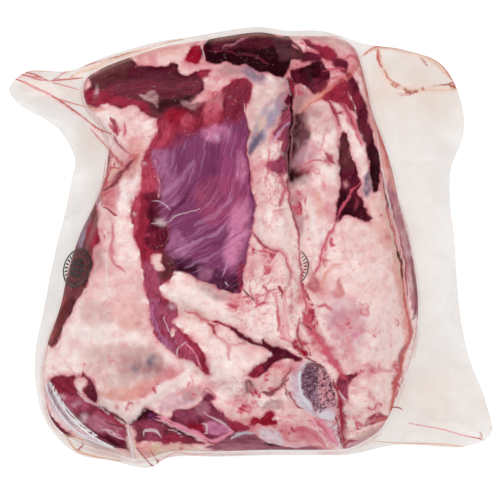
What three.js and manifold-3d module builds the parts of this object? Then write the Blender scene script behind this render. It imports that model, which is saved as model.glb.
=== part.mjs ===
// A raw leg of lamb, chump on, sealed in a clear vacuum bag and lying flat with its cut side up.
// Millimetres, +Z up, X to the right and Y away from the viewer who looks straight down on it.
// The pack is shifted at the end so that the origin is on the table, under the middle of its box.
//
// Three pieces: the leg itself, the end of its hip bone that shows at the cut, and the bag's
// empty margin, which stands out from the leg as two plies of film pressed flat. Where the film
// is drawn tight on the leg, the leg's own skin is the film's surface.
import * as THREE from "three";
import { mergeVertices } from "three/addons/utils/BufferGeometryUtils.js";
import Module from "manifold-3d";

// Driving sizes of the leg
const CENTRE = [-8, 2]; // the rings of the leg's surface close in on this point
const RIM_HEIGHT = 22; // the leg is widest this far above the table
const CROWN_HEIGHT = 59; // height of its smooth top, before the lobes are added
const SHOULDER_START = 3.2; // how late the top begins to fall away towards the rim
const SHOULDER_ROUND = 0.62; // how steeply it falls there
const FOOT_SHARE = 0.8; // the flat underside reaches this share of the way out to the rim
const CORE_SPREAD = 0.11; // inner rings follow the outline averaged over this share of it each way
const CORE_FADE = 1.6; // how soon the rings take on the outline's own shape, going outwards

// Driving sizes of the bag
const FILM_THICKNESS = 1.2; // two plies of barrier film with juice between them
const BAG_GAP = 0.4; // clear space between the leg and the inner edge of the margin
const MARGIN_DROP = 14; // the margin sinks this far from the rim to its outer edge
const MARGIN_REACH = 45; // a margin this wide drops the whole way, a narrower one less
const WAVE_HEIGHT = 2.2; // ripple of the slack film
const WAVE_COUNT = 23; // ripples round the pack

// Driving sizes of the bone
const BONE_CENTRE = [46.5, -97.5];
const BONE_HALF_LENGTH = 21;
const BONE_HALF_WIDTH = 11.5;
const BONE_TURN = -67; // degrees, of its long side from X
const BONE_DEPTH = 30; // how far it runs down into the meat
const BONE_CROWN = 2.2; // the sawn face is slightly domed
const BONE_PROUD = 1.2; // its edge stands this far out of the meat
const BONE_LEAN = 17; // degrees, towards the outside of the leg
const BONE_GAP = 0.3; // clear space round it

// Mesh fineness
const STEPS_PER_STATION = 3;
const TOP_RINGS = 25;
const RING_SPREAD = 1.15; // over 1, the rings at the centre are further apart
const SIDE_RINGS = 4;
const MARGIN_RINGS = 4;
const BONE_SIDES = 28;

// Stations round the outline, anticlockwise from the right-hand side. Each holds the edge of the
// leg (x, y) and, beside it, the edge of the bag (x, y).
const STATIONS = [
  [116.5, -20, 145, -18], [111, 10, 143.5, 8], [104.3, 35, 140.7, 35], [98.7, 59.5, 141.5, 57],
  [93, 77, 149, 77], [86, 96, 150.5, 95], [82, 113, 144, 117], [78, 129, 131, 133.5],
  [73.5, 141, 108, 141], [63, 148.5, 83, 144], [46, 150, 52, 153], [26, 150, 27, 153.5],
  [6, 152.5, 6, 156], [-16, 149.8, -17, 153.5], [-38, 146, -39, 149.5], [-62, 142, -63, 146],
  [-84, 135, -86, 140], [-101, 128.5, -106, 133.5], [-112.5, 122, -127, 125.5],
  [-116.5, 115, -158, 125.3], [-116.5, 107.5, -169.5, 114], [-113.5, 100, -163, 103],
  [-103, 86, -136, 86.5], [-99.6, 70, -123, 65], [-101.5, 52, -125, 50], [-109, 32, -129, 29],
  [-119, 11, -134.5, 7], [-127, -13, -139.5, -16], [-133, -40, -145, -44],
  [-142.5, -68, -150, -70], [-145, -92, -150, -94], [-139, -119, -142.5, -121],
  [-122, -134, -122, -142], [-98, -141.5, -98, -147], [-76, -146.5, -72, -152.5],
  [-55, -141, -56, -145], [-22, -141, -22, -144.5], [15, -140, 15, -143.5],
  [48, -140, 48, -143.5], [68, -139, 70, -143], [84, -131.5, 104, -136.5],
  [93, -123.5, 150, -138.5], [98.5, -114, 169, -130], [104, -100, 165.5, -105],
  [112, -80, 154, -75], [117.5, -52, 148.5, -50],
];

// Lobes of muscle and fat: a rise, or a hollow where it is negative, over an oval of the surface
const LOBES = [
  { what: "silver-skinned topside muscle", at: [-31, 31], reach: [58, 28], turn: 86, rise: 6 },
  { what: "flank fat on the right", at: [74, -36], reach: [80, 25], turn: 96, rise: 7 },
  { what: "seam fat in the middle", at: [19, 2], reach: [58, 14], turn: 97, rise: 5 },
  { what: "fat over the shank", at: [-17, -77], reach: [36, 19], turn: -22, rise: 6 },
  { what: "flank fat on the left", at: [-101, -56], reach: [50, 26], turn: 78, rise: 4 },
  { what: "fat at the upper right", at: [48, 66], reach: [46, 13], turn: 92, rise: 6 },
  { what: "mound over the hip bone", at: [46, -98], reach: [27, 17], turn: -64, rise: 4 },
  { what: "lean at the lower left", at: [-114, -113], reach: [38, 15], turn: -36, rise: -4 },
  { what: "dark lean at the upper left", at: [-76, 115], reach: [44, 15], turn: 2, rise: -7 },
  { what: "dark lean at the top", at: [0, 141], reach: [34, 13], turn: -4, rise: -9 },
];

// Creases between the lobes: a furrow of one depth and half width along a path
const CREASES = [
  { what: "long fold down the middle", deep: 10, wide: 8,
    path: [[27, 122], [30, 106], [27, 77], [25, 54], [28, 35], [34, 8], [36.5, -18], [36, -49], [41, -75]] },
  { what: "fold beside the bone", deep: 5, wide: 7, path: [[41, -75], [58, -98], [66, -116], [69, -136]] },
  { what: "seam above the shank", deep: 6, wide: 8,
    path: [[-50, -41], [-31, -49], [-14, -56], [-3, -64], [15, -71], [37, -76]] },
  { what: "lower end of the topside", deep: 4, wide: 7,
    path: [[-54, -13], [-42, -20], [-28, -25], [-13, -31], [-5, -27], [0, 4], [4, 31], [-1, 60], [-1, 98]] },
  { what: "edge of the folded flank", deep: 5, wide: 8,
    path: [[-108, -108], [-86, -121], [-63, -105], [-41, -87], [-7, -105]] },
  { what: "edge of the left strip", deep: 4, wide: 8,
    path: [[-83, 32], [-79, 7], [-73, -25], [-69, -49], [-62, -64], [-46, -77], [-31, -85]] },
  { what: "ledge under the dark lean", deep: 4, wide: 8, path: [[-32, 131], [-10, 129], [8, 123], [25, 120]] },
  { what: "pleat along the right side", deep: 3, wide: 6,
    path: [[86, 104], [94, 59], [102, 10], [108, -28], [111, -56], [106, -80], [99, -110]] },
];

// Smooth step from 0 at a to 1 at b
function smoothStep(a, b, value) {
  const share = Math.min(1, Math.max(0, (value - a) / (b - a)));
  return share * share * (3 - 2 * share);
}

// A closed curve through one pair of columns of the stations
function outline(column) {
  const points = STATIONS.map((row) => new THREE.Vector3(row[column], row[column + 1], 0));
  return new THREE.CatmullRomCurve3(points, true, "centripetal");
}

const COUNT = STATIONS.length * STEPS_PER_STATION;
const legCurve = outline(0);
const bagCurve = outline(2);
const legEdge = Array.from({ length: COUNT }, (_, i) => legCurve.getPoint(i / COUNT));
const bagEdge = Array.from({ length: COUNT }, (_, i) => bagCurve.getPoint(i / COUNT));
const coreEdge = legEdge.map((_, i) => averagedEdge(i, Math.round(CORE_SPREAD * COUNT)));

// The leg's outline at step i, averaged with its neighbours on both sides
function averagedEdge(i, reach) {
  const sum = new THREE.Vector3();
  for (let k = -reach; k <= reach; k++) sum.add(legEdge[(i + k + COUNT) % COUNT]);
  return sum.divideScalar(2 * reach + 1);
}

// Where step i of the ring at a share of the way out lies, seen from above. The inner rings are
// rounder than the outline.
function ringSpot(i, share) {
  const edge = coreEdge[i].clone().lerp(legEdge[i], share ** CORE_FADE);
  return [CENTRE[0] + (edge.x - CENTRE[0]) * share, CENTRE[1] + (edge.y - CENTRE[1]) * share];
}

// How much a lobe adds at (x, y): a bell over its turned oval
function lobeRise(lobe, x, y) {
  const turn = THREE.MathUtils.degToRad(lobe.turn);
  const dx = x - lobe.at[0];
  const dy = y - lobe.at[1];
  const along = (dx * Math.cos(turn) + dy * Math.sin(turn)) / lobe.reach[0];
  const across = (dy * Math.cos(turn) - dx * Math.sin(turn)) / lobe.reach[1];
  return lobe.rise * Math.exp(-((along * along + across * across) ** 1.5));
}

// Distance from (x, y) to a path of straight pieces
function distanceToPath(path, x, y) {
  const point = new THREE.Vector3(x, y, 0);
  const nearest = new THREE.Vector3();
  const piece = new THREE.Line3();
  let least = Infinity;
  for (let i = 1; i < path.length; i++) {
    piece.start.set(path[i - 1][0], path[i - 1][1], 0);
    piece.end.set(path[i][0], path[i][1], 0);
    piece.closestPointToPoint(point, true, nearest);
    least = Math.min(least, nearest.distanceTo(point));
  }
  return least;
}

// How deep a crease is at (x, y)
function creaseDepth(crease, x, y) {
  const share = distanceToPath(crease.path, x, y) / crease.wide;
  return crease.deep * Math.exp(-share * share);
}

// Height of the leg's top at (x, y), share of the way out from its centre to its rim
function topHeight(x, y, share) {
  const shoulder = (1 - share ** SHOULDER_START) ** SHOULDER_ROUND;
  const smooth = RIM_HEIGHT + (CROWN_HEIGHT - RIM_HEIGHT) * shoulder;
  const lobes = LOBES.reduce((sum, lobe) => sum + lobeRise(lobe, x, y), 0);
  const creases = CREASES.reduce((sum, crease) => sum + creaseDepth(crease, x, y), 0);
  const fade = 1 - smoothStep(0.9, 1, share);
  return smooth + (lobes - creases) * fade;
}

// One point of the leg: on edge position i, share of the way out, on the top
function topPoint(i, share) {
  const [x, y] = ringSpot(i, share);
  return [x, y, topHeight(x, y, share)];
}

// One point of the side under the rim, turned inwards through a quarter of an oval down to the foot
function sidePoint(i, angle) {
  const share = FOOT_SHARE + (1 - FOOT_SHARE) * Math.cos(angle);
  return [...ringSpot(i, share), RIM_HEIGHT * (1 - Math.sin(angle))];
}

// A mesh from closed rings of points, each joined to the next, with a pole at either end
function ringedGeometry(rings, firstPole, lastPole) {
  const count = rings[0].length;
  const positions = [...firstPole, ...rings.flat(2), ...lastPole];
  const last = rings.length * count + 1;
  const at = (ring, i) => 1 + ring * count + (i % count);
  const index = [];
  for (let i = 0; i < count; i++) {
    index.push(0, at(0, i), at(0, i + 1));
    for (let ring = 0; ring < rings.length - 1; ring++) {
      index.push(at(ring, i), at(ring + 1, i), at(ring + 1, i + 1));
      index.push(at(ring, i), at(ring + 1, i + 1), at(ring, i + 1));
    }
    index.push(at(rings.length - 1, i), last, at(rings.length - 1, i + 1));
  }
  const geometry = new THREE.BufferGeometry();
  geometry.setAttribute("position", new THREE.Float32BufferAttribute(positions, 3));
  geometry.setIndex(index);
  return geometry;
}

// How far out a ring of the top lies: close together at the centre and at the rim
function ringShare(ring) {
  return Math.sin((Math.PI / 2) * (ring / TOP_RINGS) ** RING_SPREAD);
}

// The leg: rings from the top's centre out to the rim, then down the side to the flat foot
function legGeometry() {
  const rings = [];
  for (let ring = 1; ring <= TOP_RINGS; ring++) {
    rings.push(legEdge.map((_, i) => topPoint(i, ringShare(ring))));
  }
  for (let ring = 1; ring <= SIDE_RINGS; ring++) {
    const angle = (Math.PI / 2) * (ring / SIDE_RINGS);
    rings.push(legEdge.map((_, i) => sidePoint(i, angle)));
  }
  const topPole = [CENTRE[0], CENTRE[1], topHeight(CENTRE[0], CENTRE[1], 0)];
  return ringedGeometry(rings, topPole, [CENTRE[0], CENTRE[1], 0]);
}

// Height of the margin's middle surface, share of the way from the leg to the bag's edge
function marginHeight(i, share) {
  const width = legEdge[i].distanceTo(bagEdge[i]);
  const drop = MARGIN_DROP * Math.min(1, width / MARGIN_REACH) * Math.sin((Math.PI / 2) * share);
  const ripple = Math.sin((2 * Math.PI * WAVE_COUNT * i) / COUNT) + 0.6 * Math.sin((2 * Math.PI * 9 * i) / COUNT + 1);
  return RIM_HEIGHT - 1 - drop + WAVE_HEIGHT * ripple * share * Math.min(1, width / MARGIN_REACH);
}

// One point of the margin, on its upper (side 1) or lower (side -1) face
function marginPoint(i, share, side) {
  const outwards = bagEdge[i].clone().sub(legEdge[i]).normalize();
  const inner = legEdge[i].clone().addScaledVector(outwards, BAG_GAP);
  const spot = inner.lerp(bagEdge[i], share);
  return [spot.x, spot.y, marginHeight(i, share) + (side * FILM_THICKNESS) / 2];
}

// The bag's margin: a closed band round the leg, upper face outwards and lower face back in
function marginGeometry() {
  const loops = [];
  for (let ring = 0; ring <= MARGIN_RINGS; ring++) {
    loops.push(legEdge.map((_, i) => marginPoint(i, ring / MARGIN_RINGS, 1)));
  }
  for (let ring = MARGIN_RINGS; ring >= 0; ring--) {
    loops.push(legEdge.map((_, i) => marginPoint(i, ring / MARGIN_RINGS, -1)));
  }
  const index = [];
  const at = (loop, i) => (loop % loops.length) * COUNT + (i % COUNT);
  for (let loop = 0; loop < loops.length; loop++) {
    for (let i = 0; i < COUNT; i++) {
      index.push(at(loop, i), at(loop + 1, i), at(loop + 1, i + 1));
      index.push(at(loop, i), at(loop + 1, i + 1), at(loop, i + 1));
    }
  }
  const geometry = new THREE.BufferGeometry();
  geometry.setAttribute("position", new THREE.Float32BufferAttribute(loops.flat(2), 3));
  geometry.setIndex(index);
  return geometry;
}

// The bone: an oval stub that runs down into the meat, its sawn face domed, grown by extra all round
function boneGeometry(extra) {
  const profile = [
    [0, -BONE_DEPTH - extra], [0.62, -BONE_DEPTH - extra], [0.8, -BONE_DEPTH * 0.6], [1, -6], [1, -1.5],
    [0.93, 0.4], [0.6, BONE_CROWN * 0.8], [0, BONE_CROWN],
  ];
  const points = profile.map(([radius, height]) => new THREE.Vector2(radius, height));
  const geometry = new THREE.LatheGeometry(points, BONE_SIDES);
  geometry.rotateX(Math.PI / 2);
  geometry.scale(BONE_HALF_LENGTH + extra, BONE_HALF_WIDTH + extra, 1);
  if (extra > 0) geometry.scale(1, 1, 1 + extra / BONE_DEPTH);
  geometry.rotateZ(THREE.MathUtils.degToRad(BONE_TURN));
  const away = new THREE.Vector3(BONE_CENTRE[0] - CENTRE[0], BONE_CENTRE[1] - CENTRE[1], 0).normalize();
  const tiltAxis = new THREE.Vector3(-away.y, away.x, 0);
  geometry.applyMatrix4(new THREE.Matrix4().makeRotationAxis(tiltAxis, THREE.MathUtils.degToRad(BONE_LEAN)));
  geometry.translate(BONE_CENTRE[0], BONE_CENTRE[1], boneFaceHeight() + BONE_PROUD);
  return geometry;
}

// Height of the meat where the bone comes out of it: that of the nearest point of the top's rings
function boneFaceHeight() {
  let nearest = { off: Infinity, height: 0 };
  for (let ring = 1; ring <= TOP_RINGS; ring++) {
    for (let i = 0; i < COUNT; i++) {
      const [x, y, height] = topPoint(i, ringShare(ring));
      const off = Math.hypot(x - BONE_CENTRE[0], y - BONE_CENTRE[1]);
      if (off < nearest.off) nearest = { off, height };
    }
  }
  return nearest.height;
}

// Joining and cutting of closed meshes
const wasm = await Module();
wasm.setup();

function toSolid(geometry) {
  const bare = geometry.clone();
  bare.deleteAttribute("normal");
  bare.deleteAttribute("uv");
  const merged = mergeVertices(bare, 1e-4);
  return new wasm.Manifold(
    new wasm.Mesh({
      numProp: 3,
      vertProperties: new Float32Array(merged.attributes.position.array),
      triVerts: new Uint32Array(merged.index.array),
    }),
  );
}

function toGeometry(solid) {
  const mesh = solid.getMesh();
  const geometry = new THREE.BufferGeometry();
  geometry.setAttribute("position", new THREE.BufferAttribute(mesh.vertProperties, 3));
  geometry.setIndex(new THREE.BufferAttribute(mesh.triVerts, 1));
  geometry.computeVertexNormals();
  return geometry;
}

// The three pieces, each with its own material
function makeLeg() {
  const solid = toSolid(legGeometry()).subtract(toSolid(boneGeometry(BONE_GAP)));
  const meat = new THREE.MeshStandardMaterial({ color: 0xd9a9a4, roughness: 0.38, metalness: 0 });
  const mesh = new THREE.Mesh(toGeometry(solid), meat);
  mesh.name = "leg_of_lamb";
  return mesh;
}

function makeBone() {
  const bone = new THREE.MeshStandardMaterial({ color: 0xb8a4ac, roughness: 0.5, metalness: 0 });
  const mesh = new THREE.Mesh(toGeometry(toSolid(boneGeometry(0))), bone);
  mesh.name = "hip_bone";
  return mesh;
}

function makeMargin() {
  const film = new THREE.MeshStandardMaterial({
    color: 0xeee8e4, roughness: 0.15, metalness: 0, transparent: true, opacity: 0.45,
  });
  const mesh = new THREE.Mesh(toGeometry(toSolid(marginGeometry())), film);
  mesh.name = "bag_margin";
  return mesh;
}

const pack = new THREE.Group();
pack.add(makeLeg(), makeBone(), makeMargin());

// The origin goes under the middle of the whole pack
const middle = new THREE.Box3().setFromObject(pack).getCenter(new THREE.Vector3());
pack.position.set(-middle.x, -middle.y, 0);

export default pack;
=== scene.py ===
import math

import bpy
import numpy as np
from bpy.props import FloatProperty, FloatVectorProperty, IntProperty, PointerProperty
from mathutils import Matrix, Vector


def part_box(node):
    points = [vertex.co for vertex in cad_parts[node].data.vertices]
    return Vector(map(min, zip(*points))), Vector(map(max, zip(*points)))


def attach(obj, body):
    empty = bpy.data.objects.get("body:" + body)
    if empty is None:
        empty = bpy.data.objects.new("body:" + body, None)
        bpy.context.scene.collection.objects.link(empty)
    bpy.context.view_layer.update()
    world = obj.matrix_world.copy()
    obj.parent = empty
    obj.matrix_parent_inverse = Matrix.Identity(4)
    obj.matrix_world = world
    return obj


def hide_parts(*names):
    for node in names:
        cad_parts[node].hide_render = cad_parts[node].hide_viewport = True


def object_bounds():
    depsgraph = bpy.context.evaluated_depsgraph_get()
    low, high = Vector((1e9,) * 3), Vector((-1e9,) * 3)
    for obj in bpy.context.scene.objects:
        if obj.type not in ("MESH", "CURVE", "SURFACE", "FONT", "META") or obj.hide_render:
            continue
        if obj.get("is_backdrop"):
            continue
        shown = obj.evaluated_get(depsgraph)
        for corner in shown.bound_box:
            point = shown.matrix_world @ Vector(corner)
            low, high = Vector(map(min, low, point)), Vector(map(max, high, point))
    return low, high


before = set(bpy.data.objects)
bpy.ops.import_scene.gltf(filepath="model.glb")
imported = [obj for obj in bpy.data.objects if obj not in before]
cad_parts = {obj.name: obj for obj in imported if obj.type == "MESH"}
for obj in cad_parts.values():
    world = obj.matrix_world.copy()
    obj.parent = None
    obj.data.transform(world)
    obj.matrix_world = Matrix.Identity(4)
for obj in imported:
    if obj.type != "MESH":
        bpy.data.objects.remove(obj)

bl_info = {
    "name": "Raw leg of lamb in a vacuum bag",
    "version": (1, 0, 0),
    "blender": (4, 5, 0),
    "location": "View3D > Sidebar > Lamb",
    "description": "Builds a raw leg of lamb with its fat, lean and bone end, sealed in clear film",
    "category": "Add Mesh",
}

CAD_BOX = [list(corner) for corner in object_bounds()]

# The leg's own sizes, in millimetres, as its solid has them
CENTRE = np.array([-8.0, 2.0])
RIM_HEIGHT = 22.0
CROWN_HEIGHT = 59.0
SHOULDER_START = 3.2
SHOULDER_ROUND = 0.62
FOOT_SHARE = 0.8
CORE_SPREAD = 0.11
CORE_FADE = 1.6
RING_SPREAD = 1.15

# The bag's own sizes, in millimetres
MARGIN_DROP = 14.0
MARGIN_REACH = 45.0
WAVE_HEIGHT = 2.2
WAVE_COUNT = 23

# The bone's own sizes, in millimetres and degrees
BONE_CENTRE = (46.5, -97.5)
BONE_HALF_LENGTH = 21.0
BONE_HALF_WIDTH = 11.5
BONE_TURN = -67.0
BONE_CROWN = 2.0
BONE_PROUD = 1.2
BONE_FALL = 5.5
BONE_LEAN = (0.14, -0.26)

# How finely the pieces are cut, and small clearances between them, in millimetres
SIDE_RINGS = 14  # of the meat, from its widest part down to the table
UNDER_RINGS = 16  # of the film, likewise
BONE_STEPS = 96
BONE_RINGS = 30
MEAT_SHRINK = 0.0015  # share by which the meat is narrower than the film
TAUT_ROUNDS = 40  # times that slack film is drawn level with its neighbours
HALF_MARGIN = 0.45  # half the thickness of the empty margin
UNDER_LIFT = 0.1  # the film's underside lies this far above the table
OVER_BONE = 0.5  # and its top this far above the bone

# The floor's half width and depth, in metres
FLOOR_HALF = 3.0
FLOOR_DEPTH = 0.0002

# In turn x, y of the leg's edge and x, y of the bag's edge, anticlockwise from the right-hand side
STATIONS = np.reshape([
    116.5, -20, 145, -18, 111, 10, 143.5, 8, 104.3, 35, 140.7, 35, 98.7, 59.5, 141.5, 57, 93, 77, 149, 77,
    86, 96, 150.5, 95, 82, 113, 144, 117, 78, 129, 131, 133.5, 73.5, 141, 108, 141, 63, 148.5, 83, 144,
    46, 150, 52, 153, 26, 150, 27, 153.5, 6, 152.5, 6, 156, -16, 149.8, -17, 153.5, -38, 146, -39, 149.5,
    -62, 142, -63, 146, -84, 135, -86, 140, -101, 128.5, -106, 133.5, -112.5, 122, -127, 125.5,
    -116.5, 115, -158, 125.3, -116.5, 107.5, -169.5, 114, -113.5, 100, -163, 103, -103, 86, -136, 86.5,
    -99.6, 70, -123, 65, -101.5, 52, -125, 50, -109, 32, -129, 29, -119, 11, -134.5, 7,
    -127, -13, -139.5, -16, -133, -40, -145, -44, -142.5, -68, -150, -70, -145, -92, -150, -94,
    -139, -119, -142.5, -121, -122, -134, -122, -142, -98, -141.5, -98, -147, -76, -146.5, -72, -152.5,
    -55, -141, -56, -145, -22, -141, -22, -144.5, 15, -140, 15, -143.5, 48, -140, 48, -143.5,
    68, -139, 70, -143, 84, -131.5, 104, -136.5, 93, -123.5, 150, -138.5, 98.5, -114, 169, -130,
    104, -100, 165.5, -105, 112, -80, 154, -75, 117.5, -52, 148.5, -50,
], (-1, 4))

# Lobes: centre, half sizes, turn in degrees, rise. Creases: depth, half width, path.
LOBES = [
    (-31, 31, 58, 28, 86, 6), (74, -36, 80, 25, 96, 7), (19, 2, 58, 14, 97, 5), (-17, -77, 36, 19, -22, 6),
    (-101, -56, 50, 26, 78, 4), (48, 66, 46, 13, 92, 6), (46, -98, 27, 17, -64, 4),
    (-114, -113, 38, 15, -36, -4), (-76, 115, 44, 15, 2, -7), (0, 141, 34, 13, -4, -9),
]
CREASES = [
    (10, 8, [27, 122, 30, 106, 27, 77, 25, 54, 28, 35, 34, 8, 36.5, -18, 36, -49, 41, -75]),
    (5, 7, [41, -75, 58, -98, 66, -116, 69, -136]),
    (6, 8, [-50, -41, -31, -49, -14, -56, -3, -64, 15, -71, 37, -76]),
    (4, 7, [-54, -13, -42, -20, -28, -25, -13, -31, -5, -27, 0, 4, 4, 31, -1, 60, -1, 98]),
    (5, 8, [-108, -108, -86, -121, -63, -105, -41, -87, -7, -105]),
    (4, 8, [-83, 32, -79, 7, -73, -25, -69, -49, -62, -64, -46, -77, -31, -85]),
    (4, 8, [-32, 131, -10, 129, 8, 123, 25, 120]),
    (3, 6, [86, 104, 94, 59, 102, 10, 108, -28, 111, -56, 106, -80, 99, -110]),
]

# What lies on the leg is drawn on a sheet of 500 by 500 squares laid over the pack, counted from
# the sheet's upper left corner. One square is SQUARE millimetres. Outlines and paths are x, y of
# one place after another. In a dab, each half size and each centre is two numbers, and the strength
# comes last.
SQUARE = 0.70
SHEET_MIDDLE = 250.0
PACK_MIDDLE = np.array([0.23, 1.75])  # the leg's sizes are measured from this far off the pack's middle
EYE_HEIGHT = 1964.0  # the sheet is drawn as seen from this far above the table
SHEET_HEIGHT = 20.0  # and its squares have their size at this height
FAR = 14.0  # squares beyond which the distance to an outline isn't told apart

TOPSIDE_MIDDLE = (205, 205)

# Each colour, what it is used for, and its red, green and blue on a screen
PALETTE = {
    "cream": ("Clean fat", 244, 223, 219),
    # pale also stands for painted highlights: on the bulge of the left fat, along the flap's edge and on the
    # left strip's rounded edge.
    "pale": ("Whitest fat", 247, 233, 231),
    "shell": ("Fat of the right flank", 238, 209, 205),
    "buff": ("Yellowish fat and stained film", 220, 190, 168),
    "blush": ("Fat with a little blood in it", 228, 185, 183),
    "rose": ("Fat beside a vein", 218, 144, 150),
    "pink": ("Bright pink sinew", 232, 140, 168),
    "rose_red": ("Blood under fat", 196, 80, 102),
    "salmon": ("Orange-pink fat", 222, 158, 146),
    "brick": ("Orange-red folds", 186, 78, 78),
    # ash_rose also stands for painted shade on the lower slope of the left fat.
    "ash_rose": ("Grey-pink membrane", 178, 136, 138),
    # dun also stands for painted shade on the fat where it slopes away from the light.
    "dun": ("Brownish fat", 203, 162, 156),
    "shadow": ("Shaded hollow", 114, 66, 76),
    "slate": ("Blue-grey sinew under fat", 104, 94, 118),
    "lavender": ("Grey-violet membrane", 158, 144, 164),
    # pearl also stands for painted highlights on the film's pleats at the bottom and lower left.
    "pearl": ("Bluish white gristle", 212, 204, 214),
    "mauve": ("Fat with a muscle just under it", 198, 152, 166),
    "mauve_grey": ("Shade beside the fold", 176, 140, 150),
    "crimson": ("Fresh lean", 152, 40, 64),
    "ruby": ("Blood in veins and folds", 150, 16, 44),
    "claret": ("Lean with skin over it", 124, 42, 62),
    "garnet": ("Brownish lean", 96, 44, 50),
    # maroon and black_cherry also stand for painted shade: beside and along the long fold, under the flap's
    # edge, between the upper-left muscle and the topside, at the topside's lower edge and over the top
    # patch.
    "maroon": ("Dark lean", 92, 20, 42),
    "black_cherry": ("Darkest lean", 42, 2, 12),
    "russet": ("Lean seen through slack film", 122, 58, 64),
    "mauve_red": ("Lean with a thin pale skin", 168, 76, 104),
    "plum": ("Silver-skinned topside", 130, 60, 100),
    "violet": ("Silver skin where it is darkest", 114, 46, 88),
    "dusk": ("Silver skin in its greyer part", 170, 104, 142),
    "magenta": ("Silver skin where it is brightest", 158, 68, 116),
    "orchid": ("Silver skin where it shines", 216, 134, 172),
    "lilac": ("Pale streaks in the silver skin", 198, 146, 184),
    "aubergine": ("Shade on the topside", 66, 16, 44),
    "old_rose": ("Lean with a pale skin over it", 172, 106, 124),
    "wine_grey": ("Dried lean", 146, 84, 100),
    # The next colour also stands for painted glints: thin white streaks of light on the wet lean.
    "sinew": ("Sinew and flecks of fat in the lean", 222, 198, 206),
    "plum_grey": ("Dark side of the spongy bone", 96, 78, 104),
    "marrow": ("Holes of the spongy bone", 66, 30, 52),
    "film": ("Slack film", 196, 184, 175),
    "film_warm": ("Slack film with juice in it", 212, 178, 154),
    # The next colour is painted highlights along the film's pleats.
    "film_highlight": ("Pleats of the film", 246, 240, 244),
    "film_shade": ("Hollows between pleats", 150, 128, 146),
    "rust": ("Dried juice in the film's creases", 176, 78, 56),
    "rust_rose": ("Fresh juice in the film's creases", 206, 100, 96),
    "rust_buff": ("Thin juice in the film's creases", 214, 160, 124),
    # The next colour is a pinkish painted shade on the film along the meat's edge.
    "rim": ("Juice along the meat's edge", 206, 150, 140),
    "ink": ("Stamps on the film", 24, 20, 24),
}

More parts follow.
